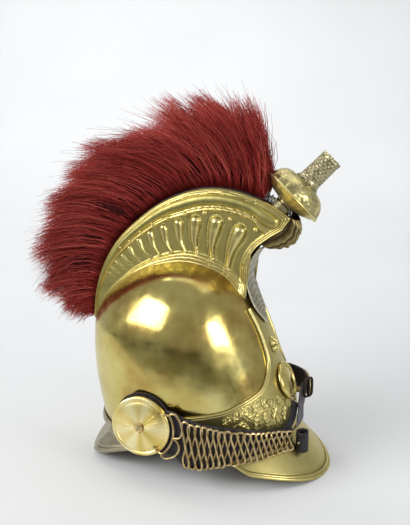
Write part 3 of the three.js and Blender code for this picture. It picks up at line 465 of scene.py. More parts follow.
# Harness leather: dyed black, waxed, rubbed grey where it bends
blackLeather, spot = newMaterial("waxed harness leather")
rub = addNode(blackLeather, "TexNoise", {"Vector": spot, "Scale": perMetre(8), "Detail": 5.0})
tint = addNode(blackLeather, "ValToRGB", {"Fac": rub}, [(0.35, "#120e10"), (0.7, "#322c2f")])
pores = addNode(blackLeather, "TexVoronoi", {"Vector": spot, "Scale": perMetre(1.1)})
grain = addNode(blackLeather, "Bump", {"Height": pores, "Strength": 0.25, "Distance": 0.0004})
skin = addNode(blackLeather, "BsdfPrincipled", {
    "Base Color": tint, "Roughness": 0.55, "Specular IOR Level": 0.35, "Normal": grain})
addNode(blackLeather, "OutputMaterial", {"Surface": skin})

# Dyed horsehair: deep red, every hair its own shade, with painted shade making it nearly black at the roots
redHair, _ = newMaterial("dyed horsehair")
tone = addNode(redHair, "Attribute", attribute_name="shade")
tint = addNode(redHair, "ValToRGB", {"Fac": tone.outputs["Fac"]},
               [(0.1, "#2c0b0b"), (0.38, "#781e1a"), (0.62, "#a5322c"), (0.95, "#cc6357")])
skin = addNode(redHair, "BsdfPrincipled", {"Base Color": tint, "Roughness": 0.6, "Specular IOR Level": 0.2})
addNode(redHair, "OutputMaterial", {"Surface": skin})
print("finishes mixed")

# Skull: one raised brass shell, oval at every height
skull = dict(middleX=2, rim=42, top=236.4, wall=1.4, columns=180, rows=84,
             wornAside=(58, 18), wornHigh=(130, 175),  # where wear beside the crest starts and is full
             sections=[  # height, back, front, half width
    (42, -98, forehead, 87), (60, -102, 125, 90), (80, -106, 122, 92), (100, -109, 114.5, 94),
    (120, -110.5, 106.5, 95), (140, -110.5, 99, 95), (160, -108.5, 91.5, 93), (180, -99, 82.5, 88),
    (200, -80, 72, 78), (215, -60, 60, 65), (226, -39, 45, 49), (233, -17, 24, 28), (236, 0, 5, 4)])


def skullAt(z, bearing, out=0):  # a spot at a height and a bearing (0 front, 90 left), lifted off by out
    z, bearing = np.broadcast_arrays(np.asarray(z, float), np.radians(bearing))
    ahead, aside = np.cos(bearing), np.sin(bearing)

    def reach(height):
        front = readTable(skull["sections"], 2, height) - skull["middleX"]
        back = skull["middleX"] - readTable(skull["sections"], 1, height)
        return np.where(ahead > 0, front, back)

    def half(height):
        return readTable(skull["sections"], 3, height)

    def span(height):
        return np.hypot(reach(height) * ahead, half(height) * aside)

    lean = np.arctan(span(z - 0.5) - span(z + 0.5))
    lift = out * np.cos(lean)
    return np.stack([skull["middleX"] + (reach(z) + lift) * ahead, (half(z) + lift) * aside,
                     z + out * np.sin(lean)], -1)


def skullShell(u, v):
    z = skull["rim"] + (skull["top"] - skull["rim"]) * np.sin(v * pi / 2)
    spots = skullAt(z, u * 360 - 180)
    spots[v > 0.999] = (skull["middleX"], 0, skull["top"])
    worn = smooth(*skull["wornAside"], np.abs(spots[:, 1])) * smooth(*skull["wornHigh"], z)
    return np.c_[spots, worn]


addPiece("skull_shell", gridSheet(skull["columns"], skull["rows"], skullShell, closed=True), polishedBrass,
         "polished_brass", "skull", wall=skull["wall"])
print("skull done")

# Front plate: a stamped sheet over the forehead and the sides, edged above with a double bead
plate = dict(lift=0.3, wall=1.4, columns=130, rows=120, low=44, high=186, beadFrom=74, recess=0.36,
             rimRecess=0.3, sweep=[  # height, half sweep
    (44, 84), (60, 84), (74, 83), (76.5, 76), (79, 68), (84, 55), (91, 45), (101, 29.5), (113, 20), (126, 14),
    (145, 12.2), (166, 12.8), (186, 15)])
plateOut = plate["lift"] + plate["wall"]
bead = dict(half=2.8, high=1.3, groove=0.2, foot=-1.3, columns=260, rows=16)


def plateEdge(z, out=plateOut):
    return skullAt(z, readTable(plate["sweep"], 1, z), out)


def evenHeights(low, high):  # heights that step evenly along the slanting edge of the plate
    z = np.linspace(low, high, 800)
    run = np.r_[0, np.cumsum(np.linalg.norm(np.diff(plateEdge(z), axis=0), axis=1))]
    return lambda share: np.interp(share * run[-1], run, z)


def plateSheet(u, v):
    z = evenHeights(plate["low"], plate["high"])(v)
    share = 2 * u - 1
    spots = skullAt(z, share * readTable(plate["sweep"], 1, z), plateOut)
    return np.c_[spots, plate["recess"] + plate["rimRecess"] * np.abs(share) ** 6]


def beadStrip(side):
    heightAt = evenHeights(plate["beadFrom"], plate["high"])

    def strip(u, v):
        z, w = heightAt(u), 2 * v - 1
        edge = plateEdge(z)
        ahead, behind = heightAt(np.minimum(u + 0.004, 1)), heightAt(np.maximum(u - 0.004, 0))
        run = unit(plateEdge(ahead) - plateEdge(behind))
        out = unit(plateEdge(z, plateOut + 1) - edge)
        base = np.where(np.abs(w) < 0.5, bead["groove"], bead["foot"])
        hump = np.sqrt(np.clip(1 - (2 * np.abs(w) - 1) ** 2, 0, 1))
        high = base + (bead["high"] - base) * hump
        spots = edge + np.cross(run, out) * (w * bead["half"])[:, None] + out * high[:, None]
        return np.c_[spots * (1, side, 1), 0.9 * (1 - hump) ** 2]
    return strip


addPiece("plate_sheet", gridSheet(plate["columns"], plate["rows"], plateSheet), stampedBrass, "stamped_brass",
         "front_plate", wall=plate["wall"])
for name, side in bothSides:
    addPiece("plate_bead_" + name, gridSheet(bead["columns"], bead["rows"], beadStrip(side)), stampedBrass,
             "stamped_brass")

# Oak spray on each half of the plate: soft lobed leaves along a stem, and a small flower above the disc
spray = dict(long=16, wide=12, high=1.1, sunk=0.3, rib=0.5, vein=0.35, lobes=3, columns=36, rows=20,
             stemThick=1.6, stem=[  # bearing, height
                 (52, 67), (46, 73), (38, 79.5), (30, 82), (22.7, 81.9), (12, 78), (3, 72)],
             leaves=[(54, 75.5, 155), (49, 81, 120), (44, 84.5, 140), (36, 87.5, 100), (29.5, 89.5, 60),
                     (24.4, 86.5, 35), (16.4, 86.5, 60), (23.5, 76.5, -60), (30.6, 73, -100), (37, 72.5, -70),
                     (42.5, 76.5, -140), (15, 70.5, -80), (20.4, 66.5, -120), (8, 79.5, 40), (46, 67, -150),
                     (29, 64, -100), (37, 63, -90)])  # bearing, height, the way it points
flower = dict(z=140, radius=8.5, tall=1.25, high=5.5, sunk=0.4, petals=7, columns=84, rows=18)


def tangentFrame(bearing, z, out):  # middle, eastward, upward and outward directions on the plate
    middle = skullAt(z, bearing, out)
    normal = unit(skullAt(z, bearing, out + 1) - middle)
    east = unit(np.cross((0, 0, 1), normal))
    return middle, east, np.cross(normal, east), normal


def leafSheet(bearing, z, tilt):
    middle, east, up, normal = tangentFrame(bearing, z, plateOut)
    along = east * cos(radians(tilt)) + up * sin(radians(tilt))
    aside = np.cross(normal, along)

    def leaf(u, v):
        w = 2 * v - 1
        lobed = np.sin(pi * u ** 0.8) ** 0.6 * (0.5 + 0.5 * np.abs(np.sin(pi * spray["lobes"] * u)) ** 0.6)
        veins = np.clip(np.cos(2 * pi * (spray["lobes"] * u - 0.5 - 0.5 * np.abs(w))), 0, 1) ** 5
        cover = np.sqrt(np.clip(1 - w**6, 0, 1))
        high = (cover * (spray["high"] + spray["vein"] * veins) + spray["rib"] * np.exp(-((w / 0.12) ** 2))
                - spray["sunk"])
        spots = (middle + along * ((u - 0.5) * spray["long"])[:, None]
                 + aside * (w * lobed * spray["wide"] / 2)[:, None] + normal * high[:, None])
        return np.c_[spots, np.clip(1 - 0.8 * high, 0.2, 1)]
    return leaf


def flowerSheet(u, v):  # petals round a sunk eye
    middle, east, up, normal = tangentFrame(0, flower["z"], plateOut)
    angle = 2 * pi * u
    petal = np.abs(np.cos(flower["petals"] * angle / 2))
    reach = flower["radius"] * v * (0.8 + 0.2 * petal)
    high = flower["high"] * np.sin(pi * (0.12 + 0.83 * v)) * (0.55 + 0.45 * petal) - flower["sunk"]
    spots = (middle + east * (reach * np.cos(angle))[:, None]
             + up * (flower["tall"] * reach * np.sin(angle))[:, None] + normal * high[:, None])
    return np.c_[spots, np.clip(1.1 - petal - v * 0.2, 0, 1)]


for name, side in bothSides:
    leaves = [gridSheet(spray["columns"], spray["rows"],
                        leafSheet(side * bearing, z, tilt if side > 0 else 180 - tilt))
              for bearing, z, tilt in spray["leaves"]]
    addPiece("oak_leaves_" + name, joinForms(leaves), stampedBrass, "stamped_brass")
    stem = alongPoints(spray["stem"], np.linspace(0, 1, 50))
    twig = skullAt(stem[:, 1], side * stem[:, 0], plateOut)
    addPiece("oak_stem_" + name, wireMesh([twig], spray["stemThick"], False), stampedBrass, "stamped_brass")
addPiece("plate_flower", gridSheet(flower["columns"], flower["rows"], flowerSheet, closed=True), stampedBrass,
         "stamped_brass")

# Front disc: spun and burnished, with a turned border round a domed middle
disc = dict(z=99.5, out=2.0, steps=96, profile=[  # radius, height
    (21.5, 0), (21.5, 1.8), (21.1, 2.6), (20.2, 3.0), (19.2, 2.6), (18.6, 2.0), (17.8, 2.0), (17.2, 2.6),
    (16.4, 2.7), (15.8, 2.2), (14.5, 2.5), (11, 3.6), (7, 4.5), (3, 4.9), (0, 5.0)])
seat, _, _, outward = tangentFrame(0, disc["z"], disc["out"])
addPiece("burnished_disc", spunShape(disc["profile"], disc["steps"], seat, outward), burnishedBrass,
         "polished_brass", "front_disc")
print("plate, spray and disc done")

# Peak and neck guard: two flared sheets, each with a rolled edging
peak = dict(rootZ=46, rootOut=3.4, middleX=55, reach=111, half=91, droop=23.6, sweep=88, rootShare=0.72,
            crown=1, dip=1.6, columns=150, rows=24, finish=stampedBrass)
neck = dict(rootBack=53, rootSide=45, sweep=66, seat=0.3, flare=15, crown=9.5, crownFrom=0.1, crownTo=0.84,
            columns=110, rows=24, finish=dulledBrass, rim=[  # share round the side, height
    (0, 1), (0.2, -1), (0.34, -1), (0.47, 5), (0.64, 11), (0.82, 19), (1, 27)])
edging = dict(proud=1.2, start=0.9, gap=0.3, narrow=0.7, recess=0.25, rows=26, section=[
    # share from the seat to the rim, beyond it, up
    (0, 0, -0.6), (0, 0, 0.7), (0, 0.5, 1.2), (0.5, 0, 1.25), (1, -2.8, 1.25), (1, -2.3, 0.75),
    (1, -1.7, 0.75), (1, -1.2, 1.3), (1, 0.2, 1.25), (1, 1.4, 0.7), (1, 2.1, -0.4), (1, 1.5, -1.7),
    (1, -0.4, -2.5), (0.5, 0, -2.6), (0, 0.4, -2.4), (0, 0, -1.8)])


def peakAt(across, down, out):
    angle = np.radians(across * peak["sweep"])
    root = skullAt(peak["rootZ"], across * peak["sweep"] * peak["rootShare"], peak["rootOut"])
    rim = np.stack([peak["middleX"] + peak["reach"] * np.cos(angle), peak["half"] * np.sin(angle),
                    edging["proud"] - peak["dip"] + peak["droop"] * np.sin(angle) ** 2], -1)
    taper = 1 - edging["narrow"] * smooth(0.72, 1, np.abs(across))
    spots = root + (rim - root) * (down * taper)[:, None]
    spots[:, 2] += peak["crown"] * np.sin(pi * down) * taper
    side = np.stack([-np.sin(angle), np.cos(angle), 0 * angle], -1)
    return spots + unit(np.cross(unit(rim - root), side)) * np.reshape(out, (-1, 1))


def neckAt(across, down, out):
    bearing, ease = 180 + across * neck["sweep"], np.abs(across)
    root = skullAt(neck["rootBack"] + (neck["rootSide"] - neck["rootBack"]) * ease, bearing, plateOut)
    flare = neck["flare"] * (1 - edging["narrow"] * smooth(0.5, 1, ease))
    rim = skullAt(skull["rim"], bearing, neck["seat"] + flare)
    rim[:, 2] = edging["proud"] + readTable(neck["rim"], 1, ease)
    spots = root + (rim - root) * np.reshape(down, (-1, 1))
    outward = np.stack([np.cos(np.radians(bearing)), np.sin(np.radians(bearing)), 0 * ease], -1)
    bowed = np.sin(pi * smooth(neck["crownFrom"], neck["crownTo"], down))
    spots -= outward * (neck["crown"] * bowed)[:, None]
    return spots + unit(outward + (0, 0, 0.4)) * np.reshape(out, (-1, 1))


def flaredSheet(pointAt):
    def sheet(u, v):
        spots = pointAt(2 * u - 1, v * edging["start"], 0 * u)
        return np.c_[spots, edging["recess"] + 0.5 * smooth(0.9, 1, v)]
    return sheet


def edgingRing(pointAt):
    section = np.array(edging["section"])

    def ring(u, v):
        across = 2 * u - 1
        along = alongPoints(np.vstack([section, section[:1]]), v)
        start, rim = pointAt(across, 0 * u + edging["start"], 0 * u), pointAt(across, 0 * u + 1, 0 * u)
        run = unit(rim - start)
        up = pointAt(across, 0 * u + 1, 0 * u + 1) - rim
        seat = start + run * edging["gap"]
        spots = seat + (rim - seat) * along[:, :1] + run * along[:, 1:2] + up * along[:, 2:]
        spots[:, 2] = np.maximum(spots[:, 2], 0)
        return np.c_[spots, edging["recess"] + 0.4 * (along[:, 2] < 0.9)]
    return ring


for name, pointAt, sizes in (("peak", peakAt, peak), ("neck_guard", neckAt, neck)):
    flared = gridSheet(sizes["columns"], sizes["rows"], flaredSheet(pointAt))
    addPiece(name + "_sheet", flared, sizes["finish"], "polished_brass", name, wall=skull["wall"])
    roll = capEnds(gridSheet(sizes["columns"], edging["rows"], edgingRing(pointAt), closed=True))
    addPiece(name + "_roll", roll, sizes["finish"], "polished_brass", name + "_edging")
print("peak and neck guard done")

# Crest: two stamped sides that rise from the skull to a channel for the hair and run out into a prow
crest = dict(columns=430, rows=112, lean=0.08, flare=9.0, flareTop=0.2, fold=1.6, sunk=0.7, fullTall=80,
             smallFit=0.25, prowFit=1.25, corner=9 / 13, stations=[
    # foot x, z and top x, z from the rear to the prow, half width
    (-107, 147, -115, 153, 10), (-101, 163, -110.5, 185, 12), (-87, 185, -99, 219, 14),
    (-66, 204, -81, 249, 15), (-41, 219, -57, 273.5, 15.5), (-14, 228, -26, 297, 16), (14, 227, 8, 312, 16),
    (38, 219, 36, 316.5, 16), (58, 203, 61, 314.5, 16), (71.5, 191, 80, 309.5, 16), (73, 233, 94, 305, 16),
    (82, 252, 105, 299.5, 15.5), (97, 265, 114, 294, 15), (112, 275, 121, 288.5, 14)])
relief = dict(  # ridges as distance from an edge, half width and height
    rim=[(0.9, 0.9, 0.9), (3.1, 0.6, 0.5), (5.2, 0.5, 0.4)], foot=[(1.6, 1.5, 1.4)],
    frame=[(1.7, 1.2, 1.0), (4.7, 1.2, 0.9)], frameTop=18.7, frameFoot=3.4,  # a double ridge round the field
    roll=(12.8, 6.0, 3.8), rollStop=14,  # the roll ends round, short of the prow
    fieldDepth=-1.2, fieldEdge=(5.6, 7.2), frontEdge=(5, 8), corner=1.5, rimCorner=1)
drops = dict(high=0.9, ring=2.1, pearl=0.95, pitch=2.2, groove=1.2, cut=0.5, least=0.5, spine=[
    # head, middle and tail as x and z, head radius
    (64.8, 271.0, 55.0, 247.9, 50.0, 219.7, 6.9), (37.6, 278.7, 32.6, 253.1, 34.3, 229.4, 6.5),
    (13.5, 278.7, 12.3, 255.3, 18.3, 232.7, 5.7), (-6.8, 274.4, -4.3, 253.1, 7.9, 234.2, 4.8),
    (-24.4, 267.8, -21.1, 250.9, -10.8, 234.9, 4.0), (-40.9, 259.7, -36.5, 245.5, -27.7, 233.8, 3.4),
    (-55.1, 250.9, -49.8, 239.8, -39.3, 231.5, 2.8), (-66.6, 241.0, -61.4, 232.8, -51.7, 227.4, 2.4),
    (-75.5, 230.7, -69.4, 225.2, -61.3, 222.1, 2.0), (-83.0, 222.9, -77.5, 219.5, -70.9, 216.8, 1.8),
    (-88.8, 215.8, -84.1, 213.4, -78.9, 211.7, 1.5), (-93.5, 209.2, -89.5, 207.7, -85.5, 206.4, 1.2)],
    taper=[(0, 1), (0.12, 1), (0.3, 0.77), (0.55, 0.44), (0.8, 0.24), (1, 0.1)],  # share down the drop, width
    swell=[(0, 1), (0.1, 0.97), (0.22, 0.8), (0.4, 0.66), (0.7, 0.5), (1, 0.2)])
studs = [(82.7, 273.7, 2.9), (53.7, 283.4, 2.8), (24.4, 288.3, 3.0), (2.0, 285.7, 2.5), (-18.3, 279.5, 2.1),
         (-37.4, 271.2, 1.9), (-52.8, 260.7, 1.7), (-65.6, 249.2, 1.6), (-76.5, 241.0, 1.5)]  # x, z, radius
crestHalves = np.c_[np.linspace(0, 1, len(crest["stations"])), [row[4] for row in crest["stations"]]]
footLine = [(row[0], 0, row[1]) for row in crest["stations"]]
topLine = [(row[2], 0, row[3]) for row in crest["stations"]]


def crestLine(t, v):  # the middle plane of the crest, and how tall the crest is there
    inFront = smooth(0.4, 0.65, t) * (1 - smooth(0.7, 0.8, t))
    back = t - crest["lean"] * inFront * np.maximum(0.6 - v, 0)
    foot, top = alongPoints(footLine, back), alongPoints(topLine, back)
    return foot + (top - foot) * np.reshape(v, (-1, 1)), np.linalg.norm(top - foot, axis=1)


def crestFlare(t, v, tall):  # the foot spreads over the skull, but not along the front edge
    behind = 1 - smooth(crest["corner"], crest["corner"] + 0.05, t)
    return crest["flare"] * smooth(8, 45, tall) * (1 - smooth(0, crest["flareTop"], v)) * behind


def crestSeat(t):  # the share of the way up at which the side leaves the skull
    seat = np.zeros_like(t)
    for v in np.linspace(0, 0.5, 101):
        spots, tall = crestLine(t, v)
        half = readTable(crestHalves, 1, t) + crestFlare(t, v, tall)
        z = spots[:, 2] + crest["sunk"]
        front, back = readTable(skull["sections"], 2, z), readTable(skull["sections"], 1, z)
        ahead = spots[:, 0] - skull["middleX"]
        reach = np.where(ahead > 0, front - skull["middleX"], skull["middleX"] - back) - crest["sunk"]
        wide = readTable(skull["sections"], 3, z) - crest["sunk"]
        inside = np.hypot(ahead / np.maximum(reach, 1), half / np.maximum(wide, 1)) < 1
        seat = np.where(inside & (z < skull["top"]), v, seat)
    return seat


def awayFrom(spots, line):  # distance in the plane of the crest to a line of points
    flat, line = spots[:, [0, 2]], line[:, [0, 2]]
    best = np.full(len(flat), 999.0)
    for start, leg in zip(line, np.diff(line, axis=0)):
        t = np.clip((flat - start) @ leg / (leg @ leg), 0, 1)
        best = np.minimum(best, np.linalg.norm(flat - start - t[:, None] * leg, axis=1))
    return best


def ridge(distance, ridges):
    return sum(high * np.sqrt(np.clip(1 - ((distance - middle) / half) ** 2, 0, 1))
               for middle, half, high in ridges)


def dropLine(row, count=18):  # the spine of a drop from its head to its tail, and its half width there
    down = np.linspace(0, 1, count)
    spine = alongPoints(np.reshape(row[:6], (3, 2)), down)
    return spine, row[6] * readTable(drops["taper"], 1, down), down


def dropScale(row):  # small drops carry smaller pearls
    return max(drops["least"], row[6] / drops["spine"][0][6])


def dropRelief(spots):  # height over the field, and closeness to a drop's outline
    high, outline = np.zeros(len(spots)), np.zeros(len(spots))
    flat = spots[:, [0, 2]]
    for row in drops["spine"]:
        spine, wide, down = dropLine(row)
        near, edge, swell = np.full(len(spots), 9.0), np.full(len(spots), 99.0), np.zeros(len(spots))
        for j in range(len(spine) - 1):
            leg = spine[j + 1] - spine[j]
            t = np.clip((flat - spine[j]) @ leg / (leg @ leg), 0, 1)
            width = wide[j] + t * (wide[j + 1] - wide[j])
            away = np.linalg.norm(flat - spine[j] - t[:, None] * leg, axis=1)
            closer = away / width < near
            near = np.where(closer, away / width, near)
            edge = np.where(closer, away - width, edge)
            share = down[j] + t * (down[j + 1] - down[j])
            swell = np.where(closer, readTable(drops["swell"], 1, share), swell)
        high = np.maximum(high, row[6] * drops["high"] * swell * np.sqrt(np.clip(1 - near**2, 0, 1)))
        small = dropScale(row)
        outline = np.maximum(outline, np.exp(-((edge / small - drops["ring"]) / drops["groove"]) ** 2))
    return np.array([high, outline])


def crestSheet(u, v):
    columnT = np.unique(u)
    seat = np.interp(u, columnT, crestSeat(columnT))
    line = seat + (1 - seat) * v
    spots, tall = crestLine(u, line)
    fit = np.clip(tall / crest["fullTall"], crest["smallFit"], 1)
    fit = fit + (crest["prowFit"] - fit) * smooth(0.66, 0.8, u)
    fromTop, fromFoot = (1 - line) * tall / fit, (line - seat) * tall / fit
    corner = crest["corner"]
    lowEdge = alongPoints(footLine, np.linspace(0.4, corner, 30))
    fromFoot = np.where(u > corner, awayFrom(spots, lowEdge) / fit, fromFoot)
    frontEdge = np.vstack([alongPoints(footLine, np.linspace(corner, 1, 40)), topLine[-1]])
    fromFront = awayFrom(spots, frontEdge)
    pastEnd = np.maximum(relief["rollStop"] - fromFront, 0) / fit
    rollMiddle = relief["roll"][0]
    rolled = ridge(rollMiddle + np.hypot(fromTop - rollMiddle, pastEnd), [relief["roll"]])
    inFrame = softMin(fromTop - relief["frameTop"], fromFoot - relief["frameFoot"], relief["corner"])
    field = smooth(*relief["fieldEdge"], softMin(inFrame, fromFront, relief["corner"]))
    framed = ridge(inFrame, relief["frame"]) * smooth(*relief["frontEdge"], fromFront)
    rim = ridge(softMin(fromTop, fromFront, relief["rimCorner"]), relief["rim"])
    drop, outline = dropRelief(spots) * smooth(*relief["frontEdge"], inFrame)
    ground = outline * (drop < 0.05)  # the groove round a drop
    high = fit * (rim + relief["fieldDepth"] * field + rolled + framed + ridge(fromFoot, relief["foot"]))
    high = high + drop - drops["cut"] * ground
    spots[:, 1] = -(readTable(crestHalves, 1, u) + crestFlare(u, line, tall) + high)
    rear = 1 - smooth(0.08, 0.42, u)
    recess = 0.3 + (0.25 + 0.25 * rear) * field + 0.55 * ground + 0.15 * rolled
    recess = recess - 0.5 * np.clip(drop, 0, 1) - 0.3 * np.clip(high - rolled, 0, 1)
    return np.c_[spots, np.clip(recess, 0, 1)]


def foldedRim(form, inward):  # the raw edge turned in, so the sheet shows its thickness
    edges = [edge for edge in form.edges if edge.is_boundary]
    fold = bmesh.ops.extrude_edge_only(form, edges=edges)["geom"]
    turned = [item for item in fold if isinstance(item, bmesh.types.BMVert)]
    bmesh.ops.translate(form, vec=(0, inward * mm, 0), verts=turned)


sideSheet = gridSheet(crest["columns"], crest["rows"], crestSheet, core=(0, 0, 240))
foldedRim(sideSheet, crest["fold"])
sideTree = BVHTree.FromBMesh(sideSheet)
addPiece("crest_sheet_left", mirrored(sideSheet), stampedBrass, "stamped_brass", "crest_side_left")
addPiece("crest_sheet_right", sideSheet, stampedBrass, "stamped_brass", "crest_side_right")


def onSide(x, z):  # where a place in the crest's plane meets the outside of its right wall
    return sideTree.ray_cast(Vector(place((x, -60, z))), Vector((0, 1, 0)))[0]


pearlForm, studForm = bmesh.new(), bmesh.new()
for row in drops["spine"]:
    spine, wide, _ = dropLine(row, 40)
    along = unit(np.gradient(spine, axis=0))
    aside = np.c_[-along[:, 1], along[:, 0]]
    small = dropScale(row)
    out = (wide + drops["ring"] * small)[:, None]
    turn = np.linspace(-pi / 2, pi / 2, 20)[:, None]
    head = spine[0] + out[0] * (aside[0] * np.sin(turn) - along[0] * np.cos(turn))
    track = np.vstack([(spine - aside * out)[::-1], head, spine + aside * out])
    run = np.r_[0, np.cumsum(np.linalg.norm(np.diff(track, axis=0), axis=1))]
    for distance in np.arange(0, run[-1], drops["pitch"] * small):
        spot = onSide(np.interp(distance, run, track[:, 0]), np.interp(distance, run, track[:, 1]))
        if spot:
            bmesh.ops.create_icosphere(pearlForm, subdivisions=1, radius=drops["pearl"] * small * mm,
                                       matrix=Matrix.Translation(spot))
for x, z, radius in studs:
    bmesh.ops.create_icosphere(studForm, subdivisions=2, radius=radius * mm,
                               matrix=Matrix.Translation(onSide(x, z)))
for name, form in (("drop_pearls", pearlForm), ("field_studs", studForm)):
    addPiece(name + "_left", mirrored(form), stampedBrass, "stamped_brass")
    addPiece(name + "_right", form, stampedBrass, "stamped_brass")

# Front strip of the crest: from under the prow down to a pointed tongue on the front plate
tongue = dict(bow=1.6, wall=1.4, columns=40, rows=150, chevrons=15, chased=0.4, midrib=0.3,
              border=[(1.1, 1.0, 0.6), (3.2, 0.7, 0.4)], line=[  # x, z, half width
    (87.6, 254.5, 15.8), (83.6, 250.6, 16), (74.2, 234, 16.5), (71.4, 216, 17), (75, 202, 17),
    (80.4, 188.5, 16.5), (84.4, 180.4, 13.5), (88.2, 172.4, 7.5), (91.4, 165, 1.5)])


def tongueSheet(u, v):  # a plain border round chased chevrons
    line, share = np.array(tongue["line"]), 2 * u - 1
    middle = [(x, 0, z) for x, z, _ in line]
    spots = alongPoints(middle, v)
    half = readTable(np.c_[np.linspace(0, 1, len(line)), line[:, 2]], 1, v)
    fromEdge = np.minimum((1 - np.abs(share)) * half, (1 - v) * 100)
    border = ridge(fromEdge, tongue["border"])
    leaf = 0.5 + 0.5 * np.cos(2 * pi * (tongue["chevrons"] * v - 0.9 * np.abs(share)))
    midrib = np.exp(-(share / 0.08) ** 2)
    chased = smooth(4, 5, fromEdge) * (tongue["chased"] * leaf + tongue["midrib"] * midrib)
    lift = tongue["wall"] + tongue["bow"] * (1 - share**2) + border + chased
    spots = spots + upFrom(runAlong(middle, v)) * lift[:, None]
    spots[:, 1] = share * half
    return np.c_[spots, np.clip(0.5 - border - 0.6 * chased, 0, 1)]


strip = gridSheet(tongue["columns"], tongue["rows"], tongueSheet, core=(0, 0, 215))
addPiece("front_tongue", strip, greyBrass, "aged_brass", "crest_front", wall=tongue["wall"])

# Palmette under the prow: a ribbed leaf that curls round the edge of the crest
palmette = dict(half=13.4, gap=0.3, tuck=3, endRise=5, midRise=17.5, ribs=7, curls=5, wall=2, columns=84,
                rows=60, base=[(122.2, 0, 288.6), (113.1, 0, 275.1), (102.1, 0, 266.9), (88.8, 0, 256.6)])


def palmetteShell(u, v):
    share = 2 * u - 1
    swell = np.sin(pi * v) ** 0.7
    ribs = np.abs(np.cos(share * pi * palmette["ribs"] / 2))
    curl = 0.04 * np.cos(2 * pi * (palmette["curls"] * v + 0.6 * np.abs(share)))
    rise = palmette["endRise"] + (palmette["midRise"] - palmette["endRise"]) * swell
    rise = (rise + palmette["tuck"]) * np.clip(1 - share**2, 0, 1) ** 0.4
    lift = palmette["gap"] + rise * (0.88 + 0.16 * ribs + curl) - palmette["tuck"]
    outward = upFrom(runAlong(palmette["base"], v, 0.01))
    spots = alongPoints(palmette["base"], v) + outward * lift[:, None]
    spots[:, 1] = share * palmette["half"] * (0.9 + 0.1 * swell)
    return np.c_[spots, np.clip(1.0 - ribs * 0.8, 0, 1)]


leafForm = gridSheet(palmette["columns"], palmette["rows"], palmetteShell, core=(90, 0, 285))
addPiece("ribbed_palmette", leafForm, brownedBrass, "aged_brass", "prow_palmette", wall=palmette["wall"])

# Cap between the crest sides in front of the hair, with a torn tin liner standing on it
cap = dict(start=0.745, end=0.985, under=1.5, inset=1.7, wall=1.4)
tin = dict(start=0.742, end=0.977, y=-6.5, under=2, tall=9, fall=4.5, lean=0.35, wall=0.5)


def capSheet(u, v):
    t = cap["start"] + (cap["end"] - cap["start"]) * v
    spots = alongPoints(topLine, t) - (0, 0, cap["under"])
    spots[:, 1] = (2 * u - 1) * (readTable(crestHalves, 1, t) - cap["inset"])
    return spots


def tinStrip(u, v):
    spots = alongPoints(topLine, tin["start"] + (tin["end"] - tin["start"]) * u) - (0, 0, tin["under"])
    torn = tin["tall"] + 2.2 * np.sin(u * 41) + 1.6 * np.sin(u * 97 + 1) - tin["fall"] * u
    spots[:, 1] = tin["y"] + 1.4 * np.sin(u * 19) + 2.2 * np.sin(u * 57) * v
    spots[:, 2] += v * torn
    spots[:, 0] += v * torn * tin["lean"]
    return spots


addPiece("cap_leather", gridSheet(10, 30, capSheet), blackLeather, "black_leather", "crest_cap",
         wall=cap["wall"])
addPiece("torn_tin", gridSheet(160, 6, tinStrip, core=(100, 20, 300)), tinPlate, "aged_brass",
         wall=tin["wall"])
print("crest done")

# Hair: stiff dyed horsehair, rooted in the channel of the crest and fanning out in pointed locks
hair = dict(strands=13000, pieces=2, start=0.006, end=0.736, rootThick=0.85, tipThick=0.2, seed=5, rings=5,
            rootHalf=9.5, rootInset=3, lockStep=0.0115, lockRows=5, tuftStep=0.03, gather=0.25, body=0.7,
            strays=0.02, strayReach=1.04, longest=1.02, boxLow=(-204, -60, 0), boxHigh=(150, 60, 429), tips=[
    # where it is rooted along the crest, tip x and z, half spread at the tip
    (0, -128, 153, 11), (0.02, -140, 155, 12), (0.065, -165, 165, 15), (0.11, -183, 181, 18),
    (0.16, -190, 204, 20), (0.215, -187, 236, 21), (0.27, -178, 270, 22), (0.325, -161, 301, 23),
    (0.38, -142, 329, 24), (0.43, -112, 356, 24), (0.48, -77, 378, 24), (0.53, -41, 396, 24),
    (0.58, -8, 408, 23), (0.62, 20, 414, 22), (0.655, 46, 413, 20), (0.685, 67, 406, 18),
    (0.705, 80, 388, 16), (0.72, 89, 364, 13), (0.736, 88, 336, 10)])
vary = dict(  # how much hairs, locks and tufts differ in length, in millimetres at tip and bend, and in shade
    length=dict(hair=0.2, lock=0.09, tuft=0.045), tip=dict(hair=3.6, lock=1.5, tuft=3.6, stray=6),
    bend=dict(hair=1.6, lock=3.5, tuft=5.0), shade=dict(hair=0.16, lock=0.05, tuft=0.04))
# root and rootEnd set the painted shade that darkens each hair towards its root in the channel
shades = dict(middle=0.53, root=0.68, rootEnd=0.25, tip=0.1)
backing = dict(start=0.002, end=0.744, lift=0.6, half=11.5, inset=2, wall=4)


def hairArc(t):  # root, direction out of the channel and tip for places along the crest
    tip = np.stack([readTable(hair["tips"], 1, t), 0 * t, readTable(hair["tips"], 2, t)], -1)
    return alongPoints(topLine, t), upFrom(runAlong(topLine, t)), tip


def hairShadowCore(u, v):  # painted shade: a dark body inside the hair that stands for the shadow between the hairs
    t = hair["start"] + (hair["end"] - hair["start"]) * v
    root, up, tip = hairArc(t)
    share = (hair["body"] * (0.5 - 0.5 * np.cos(2 * pi * u)))[:, None]
    bend = root + up * (np.linalg.norm(tip - root, axis=1) * 0.5)[:, None]
    spots = root * (1 - share) ** 2 + bend * 2 * share * (1 - share) + tip * share**2
    ends = np.sqrt(np.clip(np.minimum(v, 1 - v) * 14, 0, 1))
    spots[:, 1] = np.sin(2 * pi * u) * (4 + 0.4 * readTable(hair["tips"], 3, t)) * ends
    return spots


